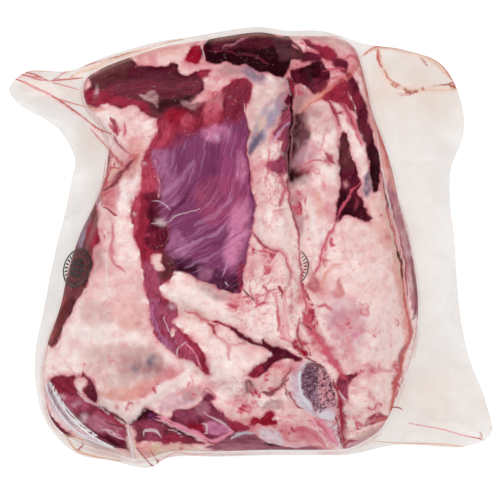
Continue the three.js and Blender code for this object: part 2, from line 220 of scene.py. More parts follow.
# Patches of lean: colour, direction of the fibres in degrees, outline
LEAN_PATCHES = {
    "upper_left": ("garnet", 8, [83, 75, 92, 74, 100, 70, 104, 66, 110, 62, 118, 59, 127, 57, 131, 60,
        138, 66, 150, 65, 168, 67, 172, 64, 178, 66, 177, 70, 184, 75, 194, 74, 203, 70, 211, 71, 208, 75,
        202, 79, 203, 85, 204, 90, 198, 95, 196, 99, 190, 104, 186, 108, 178, 111, 170, 110, 164, 113,
        157, 118, 150, 117, 145, 113, 141, 113, 137, 106, 128, 107, 121, 109, 115, 106, 108, 102, 102, 105,
        96, 107, 84, 103, 84, 95, 88, 89, 91, 83]),
    # The top patch is drawn in the darkest lean colour partly as painted shade, since it lies lower, behind
    # the fat's edge.
    "top": ("black_cherry", 10, [204, 44, 212, 39, 222, 35, 232, 33, 245, 31, 258, 30, 268, 32, 277, 36,
        288, 36, 291, 40, 292, 46, 301, 52, 303, 57, 292, 60, 289, 68, 284, 77, 274, 75, 262, 72, 250, 68,
        240, 65, 228, 63, 214, 63, 207, 61, 203, 52]),
    "upper_fold": ("maroon", 30, [291, 71, 300, 69, 308, 64, 319, 60, 324, 66, 329, 71, 330, 78, 328, 84,
        325, 91, 318, 97, 313, 93, 306, 86, 298, 83, 293, 82]),
    "beside_fold": ("crimson", 30, [319, 98, 327, 92, 334, 87, 343, 79, 348, 84, 350, 98, 354, 112,
        347, 106, 338, 103, 330, 101]),
    "under_rim": ("maroon", 20, [300, 56, 307, 52, 316, 53, 322, 57, 318, 61, 309, 61, 302, 61]),
    "rim_spot": ("claret", 20, [333, 60, 341, 60, 348, 66, 345, 72, 337, 70, 332, 65]),
    "rim_streak": ("crimson", 35, [303, 40, 308, 39, 314, 44, 322, 46, 330, 48, 336, 54, 334, 63, 328, 61,
        321, 57, 317, 50, 310, 46]),
    "top_spot": ("ruby", 10, [186, 61, 188, 50, 193, 46, 199, 46, 202, 53, 201, 62, 194, 64]),
    "above_topside": ("crimson", 60, [158, 118, 166, 109, 180, 107, 192, 104, 202, 101, 211, 98, 219, 93,
        226, 86, 234, 80, 243, 79, 251, 83, 252, 92, 248, 104, 245, 112, 240, 118, 233, 122, 227, 120,
        220, 126, 208, 130, 196, 133, 184, 137, 178, 142, 170, 150, 160, 155, 154, 160, 144, 164, 145, 154,
        149, 146, 154, 138, 158, 128]),
    "topside": ("plum", 28, [154, 163, 156, 157, 158, 152, 164, 151, 170, 149, 173, 142, 180, 137, 190, 135,
        205, 130, 215, 127, 222, 124, 227, 119, 233, 121, 240, 118, 244, 110, 247, 116, 248, 130, 247, 150,
        248, 165, 250, 178, 252, 190, 255, 200, 256, 207, 254, 214, 253, 224, 251, 236, 248, 250, 246, 260,
        244, 272, 243, 284, 240, 294, 233, 294, 225, 290, 218, 287, 210, 283, 200, 280, 190, 275, 182, 272,
        175, 271, 171, 265, 168, 258, 166, 250, 164, 244, 167, 238, 168, 232, 166, 226, 160, 224, 157, 219,
        156, 211, 154, 203, 158, 198, 160, 190, 158, 180, 156, 172]),
    "left_strip": ("crimson", 82, [143, 160, 150, 158, 156, 165, 157, 180, 159, 192, 157, 203, 158, 215,
        160, 224, 167, 226, 168, 234, 165, 243, 167, 252, 172, 264, 175, 272, 171, 279, 164, 283, 159, 288,
        162, 295, 168, 301, 174, 303, 176, 311, 176, 318, 173, 322, 177, 327, 184, 333, 191, 339, 197, 345,
        202, 352, 206, 359, 209, 368, 209, 375, 203, 371, 199, 365, 190, 360, 180, 358, 173, 353, 166, 348,
        160, 341, 155, 334, 152, 324, 150, 310, 148, 299, 145, 284, 142, 268, 139, 252, 135, 238, 133, 224,
        131, 212, 133, 202, 137, 195, 141, 188, 142, 175]),
    "left_edge": ("russet", 70, [95, 204, 97, 218, 98, 232, 99, 243, 93, 248, 91, 256, 92, 268, 86, 284,
        77, 298, 70, 312, 63, 326, 58, 340, 53, 347, 49, 346, 50, 338, 56, 320, 62, 298, 67, 278, 74, 252,
        80, 232, 87, 216]),
    "lower_left": ("claret", -32, [49, 382, 52, 378, 62, 376, 73, 376, 83, 376, 84, 372, 89, 377, 93, 385,
        97, 394, 96, 403, 103, 408, 112, 414, 121, 419, 126, 424, 127, 432, 128, 441, 129, 449, 120, 448,
        110, 445, 100, 440, 92, 435, 85, 430, 78, 423, 70, 414, 62, 407, 56, 400, 52, 391]),
    "outer_sliver": ("maroon", -45, [42, 396, 47, 409, 53, 418, 61, 427, 71, 434, 66, 436, 58, 431, 49, 421,
        44, 410]),
    "under_flap": ("maroon", 30, [127, 422, 136, 416, 145, 408, 152, 411, 160, 415, 161, 419, 150, 421,
        138, 423]),
    "bottom_left": ("claret", -14, [128, 424, 140, 421, 150, 420, 161, 423, 172, 428, 185, 433, 197, 439,
        204, 442, 196, 442, 185, 443, 172, 442, 165, 444, 158, 441, 145, 441, 137, 440, 135, 430]),
    "lower_centre": ("maroon", -22, [164, 419, 171, 418, 172, 413, 178, 410, 186, 409, 194, 408, 203, 402,
        204, 397, 208, 393, 213, 395, 215, 399, 212, 401, 213, 405, 218, 410, 224, 416, 232, 421, 241, 424,
        250, 427, 244, 431, 232, 433, 222, 437, 210, 439, 200, 435, 188, 430, 176, 425]),
    "bottom_edge": ("wine_grey", -4, [206, 446, 213, 443, 220, 440, 226, 436, 232, 434, 240, 431, 248, 431,
        256, 434, 262, 439, 268, 443, 280, 446, 300, 448, 318, 448, 330, 450, 316, 452, 290, 453, 258, 452,
        228, 451]),
    "right_patch": ("maroon", 80, [342, 133, 347, 136, 349, 145, 351, 155, 354, 163, 357, 172, 360, 182,
        359, 195, 362, 198, 363, 206, 367, 209, 369, 214, 371, 219, 366, 222, 360, 221, 354, 217, 347, 214,
        343, 216, 339, 220, 335, 221, 336, 212, 338, 200, 340, 188, 340, 172, 339, 160, 340, 146]),
    "right_strip": ("maroon", 75, [346, 72, 351, 72, 354, 78, 358, 88, 363, 99, 367, 108, 367, 116,
        370, 127, 374, 138, 377, 150, 379, 160, 381, 172, 379, 183, 376, 191, 372, 191, 371, 178, 369, 165,
        367, 150, 361, 133, 357, 122, 355, 110, 352, 98, 348, 84]),
    "fold_wedge": ("mauve_red", 45, [290, 107, 291, 121, 285, 125, 277, 133, 272, 138, 274, 131, 280, 121,
        284, 113]),
    "fold_low_wedge": ("mauve_red", 60, [289, 126, 287, 148, 283, 152, 280, 146, 283, 141, 276, 140,
        282, 133]),
    "fold_top_wedge": ("maroon", 60, [285, 79, 292, 78, 292, 106, 288, 105, 284, 102, 289, 96, 288, 88]),
    "fold_lower_wedge": ("mauve_red", 30, [266, 165, 273, 161, 281, 157, 284, 160, 284, 175, 278, 175,
        271, 170]),
    "beside_bone": ("claret", 70, [340, 375, 348, 374, 358, 374, 353, 380, 347, 386, 346, 394, 346, 403,
        341, 396, 338, 386]),
    "vein_meeting": ("maroon", 30, [262, 338, 267, 345, 276, 346, 285, 349, 294, 355, 303, 359, 298, 362,
        288, 359, 280, 360, 270, 367, 262, 375, 252, 378, 249, 375, 258, 367, 268, 360, 273, 354, 266, 349,
        262, 345]),
    "blood": ("ruby", 20, [252, 417, 259, 419, 265, 414, 271, 411, 274, 415, 273, 419, 279, 420, 272, 424,
        262, 425, 255, 424, 252, 430, 250, 423]),
}

# Islands of fat and membrane inside the lean
FAT_ISLANDS = [
    [150, 257, 155, 253, 161, 253, 162, 263, 165, 271, 160, 273, 153, 266],
    [172, 328, 177, 328, 176, 334, 172, 337],
    [75, 380, 80, 377, 87, 378, 88, 385, 82, 390, 86, 396, 95, 402, 97, 406, 86, 401, 78, 394],
]

# Shades laid on the fat, in order: colour, strength, softness of the edge in squares, outline
FAT_SHADES = [
    ("ash_rose", 0.6, 5, [292, 36, 330, 36, 350, 44, 355, 58, 342, 52, 318, 42, 294, 42]),
    ("shell", 0.8, 14, [352, 160, 378, 165, 394, 235, 408, 300, 404, 360, 390, 410, 345, 432, 340, 300,
        338, 230]),
    # Painted highlight on the bulge of the left fat, where it faces the light.
    ("pale", 0.6, 8, [75, 328, 100, 322, 135, 330, 128, 346, 100, 350, 74, 342]),
    ("blush", 0.8, 6, [110, 298, 147, 300, 152, 330, 120, 326]),
    ("dun", 0.55, 6, [80, 304, 107, 302, 112, 322, 84, 326]),
    # Painted shade where the left fat slopes away from the light, in dun and ash_rose.
    ("dun", 0.6, 9, [88, 352, 130, 346, 152, 352, 166, 364, 150, 384, 110, 388, 88, 372]),
    ("ash_rose", 0.6, 8, [120, 352, 150, 350, 168, 366, 150, 376, 124, 372]),
    ("rose", 0.6, 5, [96, 394, 130, 388, 160, 376, 184, 368, 180, 378, 150, 394, 120, 402]),
    ("salmon", 0.75, 6, [98, 392, 130, 386, 160, 374, 186, 370, 178, 380, 150, 396, 120, 402]),
    ("rose", 0.55, 4, [140, 396, 160, 382, 184, 372, 176, 384, 152, 398]),
    # Painted highlight along the flap's edge, in pale.
    ("pale", 1, 2, [104, 403, 126, 410, 150, 392, 190, 370, 193, 374, 172, 389, 150, 401, 136, 413,
        127, 421]),
    ("cream", 0.9, 3, [98, 402, 126, 402, 150, 398, 127, 421]),
    ("blush", 0.6, 5, [84, 252, 106, 252, 106, 298, 80, 300]),
    ("ash_rose", 0.7, 4, [90, 252, 104, 247, 104, 262, 92, 274]),
    ("blush", 0.8, 5, [98, 214, 114, 216, 116, 250, 102, 250]),
    ("blush", 0.7, 6, [110, 262, 140, 268, 144, 300, 112, 300]),
    ("pale", 0.7, 3, [120, 178, 128, 172, 141, 174, 140, 188, 132, 198, 131, 214, 118, 212]),
    ("buff", 0.8, 4, [104, 168, 124, 170, 114, 186, 106, 206, 102, 196]),
    ("rose_red", 0.5, 3, [110, 190, 119, 186, 117, 206, 116, 214, 104, 207, 106, 198]),
    ("salmon", 0.6, 5, [128, 138, 148, 142, 144, 158, 134, 162, 124, 150]),
    ("blush", 0.6, 5, [134, 46, 198, 42, 200, 62, 140, 66]),
    ("rose", 0.7, 4, [136, 52, 156, 50, 158, 64, 140, 66]),
    ("rose", 0.5, 4, [178, 64, 208, 62, 262, 76, 262, 82, 210, 80, 200, 74]),
    ("lavender", 0.7, 4, [238, 66, 264, 72, 266, 84, 242, 80]),
    ("blush", 0.7, 3, [204, 80, 226, 78, 222, 100, 206, 106]),
    ("dun", 0.55, 6, [250, 90, 262, 84, 288, 84, 290, 110, 272, 140, 254, 160, 250, 130]),
    ("lavender", 0.95, 3, [290, 90, 284, 108, 272, 128, 262, 142, 260, 134, 268, 116, 280, 94]),
    ("lavender", 0.8, 3, [275, 100, 266, 116, 256, 134, 252, 148, 249, 140, 256, 122, 268, 102]),
    ("slate", 0.95, 3, [264, 128, 258, 144, 252, 156, 248, 154, 250, 144, 257, 131]),
    ("buff", 0.7, 3, [258, 118, 267, 117, 266, 128, 258, 131]),
    # Painted shade in the deep hollow and the slit right of the long fold.
    ("shadow", 1, 4, [285, 105, 300, 106, 309, 119, 311, 138, 307, 152, 300, 168, 284, 176, 282, 140]),
    ("black_cherry", 0.7, 5, [286, 104, 298, 108, 300, 128, 296, 148, 294, 168, 283, 170, 284, 140]),
    ("maroon", 0.8, 6, [287, 152, 294, 156, 302, 166, 312, 168, 306, 180, 292, 186, 286, 172]),
    ("black_cherry", 1, 4, [287, 164, 294, 168, 300, 172, 308, 172, 300, 177, 293, 182, 287, 176]),
    ("mauve", 0.75, 4, [298, 152, 308, 150, 312, 158, 298, 168, 290, 166]),
    ("ash_rose", 1, 3, [292, 82, 306, 88, 318, 96, 306, 106, 291, 112]),
    ("ash_rose", 0.5, 3, [290, 61, 304, 62, 308, 66, 294, 72]),
    ("dun", 0.6, 4, [300, 38, 344, 42, 352, 56, 336, 62, 330, 46]),
    ("blush", 0.7, 4, [334, 46, 352, 50, 356, 62, 340, 60]),
    ("dun", 0.5, 5, [306, 108, 332, 106, 334, 128, 310, 132]),
    ("rose", 0.9, 3, [331, 102, 337, 110, 341, 128, 338, 140, 334, 124]),
    ("rose", 0.8, 3, [344, 102, 350, 108, 356, 130, 348, 122]),
    ("slate", 0.6, 3, [240, 66, 262, 71, 262, 80, 246, 78]),
    ("maroon", 0.8, 2, [246, 380, 254, 383, 256, 391, 248, 393, 244, 388]),
    ("crimson", 1, 2, [362, 427, 367, 418, 377, 411, 384, 416, 390, 416, 378, 424]),
    ("slate", 0.85, 3, [368, 168, 371, 178, 371, 190, 366, 198, 362, 194, 362, 184]),
    ("salmon", 0.7, 5, [366, 84, 378, 100, 390, 135, 394, 170, 400, 205, 384, 200, 378, 160, 370, 120]),
    ("salmon", 0.5, 8, [372, 196, 392, 200, 398, 240, 384, 250, 370, 226]),
    ("mauve_grey", 0.75, 3, [289, 182, 296, 184, 300, 205, 303, 232, 299, 236, 293, 215]),
    ("mauve", 0.6, 10, [328, 300, 362, 306, 366, 340, 348, 356, 330, 334]),
    ("pale", 0.6, 6, [306, 222, 330, 226, 318, 246, 306, 252]),
    ("blush", 0.5, 8, [252, 166, 266, 176, 264, 216, 256, 214]),
    ("dun", 0.6, 4, [182, 306, 198, 312, 208, 322, 190, 320, 178, 316]),
    ("shadow", 0.4, 4, [196, 282, 236, 296, 242, 298, 230, 302, 200, 292]),
    ("dun", 0.55, 5, [256, 370, 272, 366, 286, 372, 286, 384, 268, 392, 254, 386]),
    ("rose", 0.55, 5, [226, 400, 246, 396, 254, 408, 236, 412]),
    ("mauve", 0.7, 5, [158, 398, 196, 386, 204, 392, 190, 404, 176, 408, 158, 412]),
    ("ash_rose", 0.7, 3, [180, 390, 202, 386, 200, 398, 184, 400]),
    ("dun", 0.6, 5, [226, 410, 252, 412, 248, 424, 232, 422]),
    ("blush", 0.9, 6, [278, 396, 300, 404, 312, 422, 300, 444, 262, 438, 264, 426, 282, 418]),
    ("rose_red", 0.6, 6, [280, 424, 304, 426, 322, 444, 286, 442]),
    ("ash_rose", 0.7, 3, [266, 402, 282, 399, 282, 408, 270, 409]),
    ("rose_red", 0.6, 4, [246, 418, 266, 422, 262, 432, 248, 430]),
    # Painted highlight on pleats of the film.
    ("pearl", 0.8, 3, [260, 428, 278, 430, 282, 446, 264, 442]),
    ("rose", 0.9, 2, [318, 412, 324, 416, 338, 446, 328, 446]),
    ("pink", 0.5, 4, [308, 415, 330, 425, 337, 446, 318, 440]),
    ("pearl", 1, 3, [292, 370, 303, 366, 303, 388, 308, 400, 316, 410, 305, 410, 296, 400, 291, 386]),
    ("pearl", 0.9, 2, [303, 360, 297, 366, 291, 380, 291, 394, 297, 404, 312, 414, 320, 412, 322, 400,
        316, 384, 312, 366]),
    ("pearl", 0.9, 2, [322, 410, 330, 406, 336, 418, 340, 440, 344, 449, 332, 446, 326, 428]),
    ("salmon", 0.5, 3, [355, 436, 372, 428, 390, 420, 388, 428, 370, 442]),
    ("cream", 0.8, 2, [345, 400, 350, 402, 353, 430, 347, 434]),
    ("cream", 0.9, 2, [303, 328, 308, 334, 320, 350, 336, 374, 330, 378, 318, 364, 306, 350]),
    ("ruby", 0.9, 3, [313, 273, 318, 282, 323, 290, 310, 292, 306, 287, 311, 281]),
    ("brick", 0.75, 3, [338, 277, 343, 289, 344, 297, 334, 298, 331, 291, 336, 284]),
    ("mauve", 0.8, 2, [346, 449, 352, 442, 370, 439, 368, 443, 352, 448]),
    ("salmon", 0.75, 3, [400, 240, 406, 262, 408, 300, 411, 330, 400, 375, 392, 414, 388, 412, 396, 375,
        404, 335, 400, 300, 392, 262]),
    ("old_rose", 0.85, 2, [389, 170, 398, 200, 408, 240, 416, 280, 420, 320, 416, 318, 408, 284, 398, 240,
        390, 205]),
    ("lavender", 0.9, 2, [108, 178, 100, 188, 93, 203, 84, 222, 76, 242, 82, 240, 92, 216, 102, 198]),
    ("salmon", 0.8, 3, [136, 441, 150, 444, 158, 458, 152, 466, 142, 456]),
    ("buff", 0.8, 3, [152, 444, 200, 446, 196, 452, 160, 460]),
    # Painted highlight on pleats of the film along the lower left edge.
    ("pearl", 0.8, 2, [46, 384, 52, 384, 66, 408, 92, 434, 112, 447, 104, 449, 72, 430, 52, 408]),
]

# Shades laid on the lean, likewise
LEAN_SHADES = [
    ("rose_red", 0.5, 3, [88, 90, 110, 92, 128, 98, 140, 104, 120, 106, 90, 104]),
    ("mauve_red", 0.6, 4, [98, 408, 124, 420, 128, 446, 104, 440, 90, 426]),
    ("maroon", 0.7, 3, [334, 61, 345, 63, 346, 70, 336, 69]),
    ("claret", 0.9, 3, [302, 38, 312, 40, 318, 48, 306, 48]),
    ("rose", 0.5, 3, [206, 96, 222, 92, 220, 110, 206, 114]),
    # Painted shade between the upper-left muscle and the topside.
    ("maroon", 0.7, 4, [176, 104, 202, 102, 202, 116, 178, 118]),
    ("mauve_red", 0.6, 4, [129, 424, 160, 424, 160, 440, 134, 440]),
    ("mauve_red", 0.8, 3, [196, 386, 220, 386, 218, 402, 198, 404]),
    ("mauve_red", 0.6, 4, [204, 404, 234, 418, 250, 428, 236, 434, 206, 434]),
    ("maroon", 0.8, 3, [130, 66, 176, 66, 200, 72, 196, 84, 160, 86, 130, 84]),
    ("claret", 0.8, 3, [108, 84, 176, 86, 178, 97, 140, 96, 108, 98]),
    # Painted shade between the upper-left muscle and the topside.
    ("black_cherry", 0.75, 3, [206, 84, 198, 94, 176, 106, 158, 112, 156, 106, 176, 96, 196, 86]),
    ("crimson", 0.9, 3, [84, 88, 100, 92, 120, 97, 142, 102, 154, 114, 140, 113, 112, 106, 84, 104]),
    ("claret", 0.8, 3, [176, 84, 198, 80, 202, 90, 184, 96]),
    ("ash_rose", 0.6, 2, [180, 98, 190, 101, 199, 95, 202, 103, 192, 110, 184, 106]),
    ("ash_rose", 1, 1, [138, 94, 144, 95, 150, 91, 157, 94, 159, 102, 157, 109, 152, 103, 145, 101]),
    ("claret", 0.4, 4, [212, 40, 232, 36, 262, 34, 276, 42, 262, 50, 236, 48, 214, 52]),
    ("black_cherry", 0.9, 4, [300, 70, 318, 62, 322, 76, 306, 82]),
    ("crimson", 0.9, 2, [198, 69, 211, 70, 206, 78, 200, 78]),
    ("wine_grey", 0.2, 3, [275, 38, 289, 38, 291, 58, 282, 62, 276, 52]),
    ("garnet", 0.8, 2, [290, 49, 302, 52, 302, 58, 290, 58]),
    ("claret", 0.7, 2, [313, 80, 327, 80, 323, 92, 314, 90]),
    ("ruby", 0.8, 3, [166, 110, 186, 111, 184, 122, 168, 124]),
    ("rose_red", 0.7, 3, [180, 118, 192, 116, 190, 126, 182, 126]),
    ("rose_red", 0.6, 3, [204, 106, 218, 102, 216, 124, 206, 126]),
    ("claret", 0.7, 4, [226, 86, 250, 82, 248, 104, 240, 118, 228, 118, 224, 102]),
    ("rose_red", 0.4, 4, [143, 140, 168, 120, 168, 140, 146, 162]),
    ("dusk", 0.9, 4, [152, 150, 170, 150, 171, 170, 162, 178, 156, 172]),
    ("dusk", 0.6, 5, [158, 172, 176, 168, 174, 206, 158, 204]),
    ("violet", 0.6, 6, [170, 150, 186, 146, 184, 170, 170, 172]),
    ("orchid", 0.6, 4, [204, 128, 226, 126, 228, 138, 206, 140]),
    ("violet", 0.75, 8, [206, 148, 224, 146, 226, 205, 206, 206]),
    ("magenta", 0.8, 7, [224, 140, 246, 136, 250, 200, 226, 204]),
    ("orchid", 0.6, 3, [237, 152, 244, 152, 245, 182, 238, 182]),
    ("magenta", 0.6, 6, [206, 208, 238, 200, 240, 224, 210, 228]),
    ("orchid", 1, 8, [234, 204, 247, 200, 248, 226, 243, 246, 233, 266, 225, 258, 228, 234]),
    ("dusk", 0.8, 5, [165, 236, 178, 230, 188, 258, 176, 268, 167, 256]),
    ("mauve_red", 0.45, 8, [196, 186, 238, 176, 244, 206, 206, 224]),
    ("aubergine", 0.9, 5, [172, 260, 196, 260, 208, 274, 180, 274]),
    ("aubergine", 0.85, 4, [198, 268, 226, 272, 244, 282, 240, 296, 206, 284]),
    ("crimson", 0.7, 3, [241, 264, 247, 264, 244, 294, 239, 294]),
    ("orchid", 0.5, 4, [198, 268, 212, 270, 210, 279, 200, 278]),
    ("rose_red", 0.7, 4, [143, 162, 156, 170, 156, 192, 141, 192]),
    ("maroon", 0.9, 3, [144, 192, 160, 192, 160, 200, 147, 200]),
    ("rose_red", 0.8, 2, [132, 196, 139, 196, 139, 220, 135, 236, 132, 220]),
    ("maroon", 0.85, 3, [149, 200, 157, 203, 159, 223, 150, 224]),
    ("maroon", 0.95, 3, [146, 226, 168, 226, 166, 246, 156, 250, 147, 246]),
    ("mauve_red", 0.9, 4, [143, 262, 160, 268, 164, 298, 149, 304]),
    ("garnet", 0.8, 3, [160, 250, 168, 252, 175, 272, 162, 282]),
    ("dusk", 0.7, 3, [149, 300, 157, 300, 160, 336, 152, 326]),
    ("maroon", 0.6, 3, [158, 303, 176, 304, 176, 322, 172, 334, 160, 326]),
    ("black_cherry", 0.3, 3, [163, 312, 175, 312, 172, 330, 164, 328]),
    ("dusk", 0.9, 3, [157, 336, 172, 340, 178, 356, 166, 349]),
    ("mauve_red", 0.8, 4, [158, 306, 172, 304, 180, 332, 190, 340, 204, 360, 180, 358, 166, 338]),
    ("crimson", 0.9, 3, [180, 330, 192, 338, 206, 356, 210, 374, 204, 370, 194, 350]),
    ("brick", 0.6, 3, [60, 300, 67, 300, 56, 336, 50, 342, 52, 326]),
    ("lavender", 0.6, 2, [88, 216, 82, 228, 76, 246, 82, 250, 86, 236, 92, 222]),
    ("black_cherry", 0.5, 3, [66, 300, 76, 298, 60, 332, 54, 346, 54, 334]),
    ("crimson", 0.9, 2, [90, 222, 98, 222, 99, 244, 92, 248, 88, 236]),
    ("crimson", 0.6, 3, [52, 380, 74, 378, 76, 394, 82, 400, 60, 398]),
    ("maroon", 0.8, 2, [84, 390, 94, 384, 97, 394, 95, 402, 86, 396]),
    ("mauve_red", 0.9, 4, [60, 396, 84, 398, 88, 408, 66, 410]),
    ("old_rose", 0.9, 4, [84, 417, 112, 418, 122, 430, 96, 432]),
    ("crimson", 0.7, 3, [100, 410, 124, 421, 126, 428, 106, 420]),
    ("maroon", 0.9, 3, [92, 430, 112, 436, 128, 444, 126, 449, 108, 443]),
    # Painted shade under the flap's edge.
    ("black_cherry", 0.8, 2, [129, 422, 145, 410, 152, 413, 150, 419, 138, 422]),
    ("violet", 0.8, 2, [148, 414, 160, 417, 158, 421, 149, 420]),
    ("crimson", 0.8, 3, [158, 436, 186, 437, 182, 443, 162, 443]),
    ("garnet", 0.7, 2, [132, 430, 146, 428, 146, 441, 136, 440]),
    ("mauve_red", 0.5, 3, [172, 411, 192, 410, 198, 420, 180, 422]),
    ("ruby", 0.8, 3, [186, 422, 204, 424, 208, 436, 198, 434]),
    ("old_rose", 0.9, 3, [194, 403, 208, 403, 210, 413, 198, 414]),
    ("black_cherry", 0.6, 2, [201, 396, 213, 394, 211, 402, 200, 403]),
    ("orchid", 0.8, 3, [204, 424, 226, 424, 230, 432, 208, 432]),
    ("crimson", 0.9, 3, [226, 420, 250, 426, 244, 431, 230, 430]),
    ("old_rose", 0.6, 3, [210, 446, 262, 446, 262, 452, 214, 451]),
    ("black_cherry", 0.8, 4, [362, 140, 372, 136, 381, 160, 381, 180, 372, 192, 368, 168]),
    ("black_cherry", 0.75, 4, [338, 188, 352, 196, 368, 212, 366, 221, 340, 214]),
    ("garnet", 0.7, 3, [341, 136, 348, 140, 354, 168, 342, 172]),
    ("claret", 0.5, 4, [357, 122, 368, 124, 371, 144, 364, 142]),
    ("crimson", 0.6, 3, [350, 92, 358, 92, 362, 106, 356, 108]),
    ("crimson", 0.8, 2, [244, 378, 250, 372, 262, 366, 262, 374, 250, 379]),
    ("mauve_red", 0.7, 3, [340, 386, 348, 386, 347, 402, 343, 398]),
]

# Dabs of colour: centre, half sizes, turn in degrees, colour, strength
FAT_DABS = [
    (124, 158, 10, 12, 0, "rose_red", 0.4), (345, 325, 14, 16, 0, "rose", 0.45),
    (232, 72, 14, 5, 5, "mauve_red", 0.5), (353, 54, 4, 11, -20, "rose_red", 0.55),
    (320, 292, 10, 12, 0, "rose", 0.5), (256, 168, 7, 12, 0, "rose", 0.8),
    (251, 171, 6, 12, 0, "mauve_red", 0.4), (289, 371, 7, 9, 20, "rose_red", 0.35),
    # The ash_rose dabs at 150, 373 and 130, 372 are painted shade on the lower slope of the left fat.
    (297, 64, 13, 5, -5, "garnet", 0.6), (150, 373, 13, 9, 0, "ash_rose", 0.5),
    (130, 372, 10, 9, 0, "ash_rose", 0.35), (150, 391, 12, 8, 0, "rose", 0.4),
    (330, 192, 9, 10, 0, "rose", 0.5), (330, 211, 8, 9, 0, "rose", 0.45),
    (311, 110, 10, 9, 0, "ash_rose", 0.45), (331, 351, 9, 9, 0, "rose_red", 0.3),
    (196, 64, 12, 7, 0, "rose_red", 0.5), (268, 258, 13, 22, 0, "rose", 0.5),
    (130, 318, 15, 17, 0, "salmon", 0.45), (130, 130, 13, 26, 0, "rose", 0.4),
    (130, 170, 9, 12, 0, "brick", 0.5), (312, 112, 10, 8, 0, "ash_rose", 0.6),
    (330, 286, 11, 16, 0, "rose", 0.5), (292, 368, 9, 8, 0, "rose_red", 0.6),
    (230, 70, 12, 7, 0, "ash_rose", 0.75), (350, 64, 9, 12, 0, "rose", 0.8),
    (310, 70, 30, 24, 0, "rose", 0.55), (330, 208, 7, 12, 0, "rose_red", 0.4),
    (172, 372, 13, 7, -30, "rose", 0.8), (110, 196, 8, 22, 0, "rose_red", 0.4),
    (310, 152, 9, 9, 0, "mauve", 0.8), (308, 168, 10, 8, 0, "rose_red", 0.45),
    (250, 270, 7, 12, 0, "rose_red", 0.45), (212, 92, 9, 10, 0, "rose", 0.6),
    # The dun dabs at 90, 352, 130, 352, 150, 350 and 112, 350 are painted shade on the lower slope of the
    # left fat.
    (90, 352, 12, 8, 0, "dun", 0.5), (250, 350, 10, 6, 0, "rose", 0.7), (170, 50, 16, 6, 0, "salmon", 0.45),
    (350, 236, 14, 14, 0, "blush", 0.7), (310, 190, 8, 9, 0, "rose", 0.6),
    (208, 386, 10, 7, 0, "rose", 0.7), (312, 348, 6, 7, 0, "rose", 0.6), (130, 352, 11, 10, 0, "dun", 0.6),
    (150, 350, 10, 7, 0, "dun", 0.7), (170, 371, 10, 8, 0, "rose_red", 0.4),
    (112, 350, 9, 9, 0, "dun", 0.45), (130, 170, 9, 10, 0, "brick", 0.35),
    (151, 360, 4, 6, 30, "slate", 0.9), (135, 369, 4, 4, 0, "slate", 0.6),
    (146, 366, 16, 6, 10, "shadow", 0.35), (115, 408, 3, 5, 0, "rose_red", 0.6),
    (138, 322, 4, 3, 0, "rose_red", 0.45), (75, 344, 8, 6, 0, "rose", 0.4),
    (53, 367, 2, 2, 0, "rose_red", 0.6), (234, 304, 8, 9, 0, "rose", 0.7),
    (215, 330, 4, 8, 35, "rose_red", 0.45), (257, 318, 3, 9, 15, "rose", 0.5),
    (255, 262, 7, 8, 0, "rose", 0.5), (274, 274, 5, 9, 0, "rose", 0.55),
    (300, 196, 4, 9, -15, "rose_red", 0.5), (306, 217, 3, 4, 0, "rose_red", 0.6),
    (297, 213, 3, 5, 0, "crimson", 0.7), (319, 204, 5, 14, -10, "salmon", 0.8),
    (324, 186, 3, 5, 0, "rose", 0.7), (323, 245, 5, 6, 0, "rose_red", 0.5),
    (321, 46, 10, 5, 0, "rose_red", 0.5), (355, 335, 4, 4, 0, "orchid", 0.7),
    (340, 320, 8, 10, 30, "dusk", 0.35), (370, 372, 5, 9, 0, "rose_red", 0.6),
    (369, 394, 3, 4, 0, "rose_red", 0.7), (395, 366, 3, 4, 0, "brick", 0.6),
    (395, 377, 3, 5, 20, "crimson", 0.5), (308, 324, 6, 7, 0, "crimson", 0.75),
    (307, 312, 3, 8, 10, "mauve_red", 0.6), (300, 343, 6, 7, 30, "rose_red", 0.5),
    (279, 365, 6, 5, 20, "rose_red", 0.8), (330, 160, 5, 6, 0, "ruby", 0.7),
    (290, 100, 3, 6, 0, "crimson", 0.6), (212, 95, 6, 6, 0, "rose", 0.6),
    (247, 100, 3, 9, 10, "claret", 0.4), (172, 183, 4, 3, 0, "rose_red", 0.3),
    (196, 42, 7, 2, 0, "rose_red", 0.6), (120, 268, 4, 3, 20, "rose", 0.5),
    (382, 184, 4, 12, -8, "rose", 0.6), (388, 236, 5, 3, 10, "brick", 0.35),
    (400, 285, 5, 10, 0, "salmon", 0.6), (345, 432, 4, 5, 0, "rose_red", 0.6),
    (350, 440, 6, 3, 0, "ruby", 0.8),
]
LEAN_DABS = [
    # The pale dab at 135, 215 is a painted highlight on the rounded edge of the left strip.
    (96, 92, 2, 6, 5, "sinew", 0.5), (145, 164, 2, 2, 0, "sinew", 0.6), (135, 215, 2, 2, 0, "pale", 0.8),
    (147, 235, 3, 2, 0, "rose_red", 0.6), (172, 306, 4, 4, 0, "sinew", 0.6),
    (62, 397, 4, 2, 0, "sinew", 0.6), (84, 417, 3, 5, 40, "sinew", 0.5), (76, 404, 6, 3, -40, "sinew", 0.3),
    (346, 184, 3, 4, 0, "rose", 0.6), (356, 204, 2, 6, 10, "rose_red", 0.4),
    # The dark dab at 188, 270 is painted shade along the topside's lower edge, where the fat over it casts a
    # shadow.
    (161, 222, 6, 4, 0, "sinew", 0.8), (188, 270, 10, 3, -20, "black_cherry", 0.7),
    (217, 136, 4, 3, 0, "sinew", 0.35), (230, 150, 14, 13, 0, "plum", 0.6),
    (192, 273, 15, 7, -20, "aubergine", 0.4), (187, 349, 12, 9, 10, "rose_red", 0.3),
]

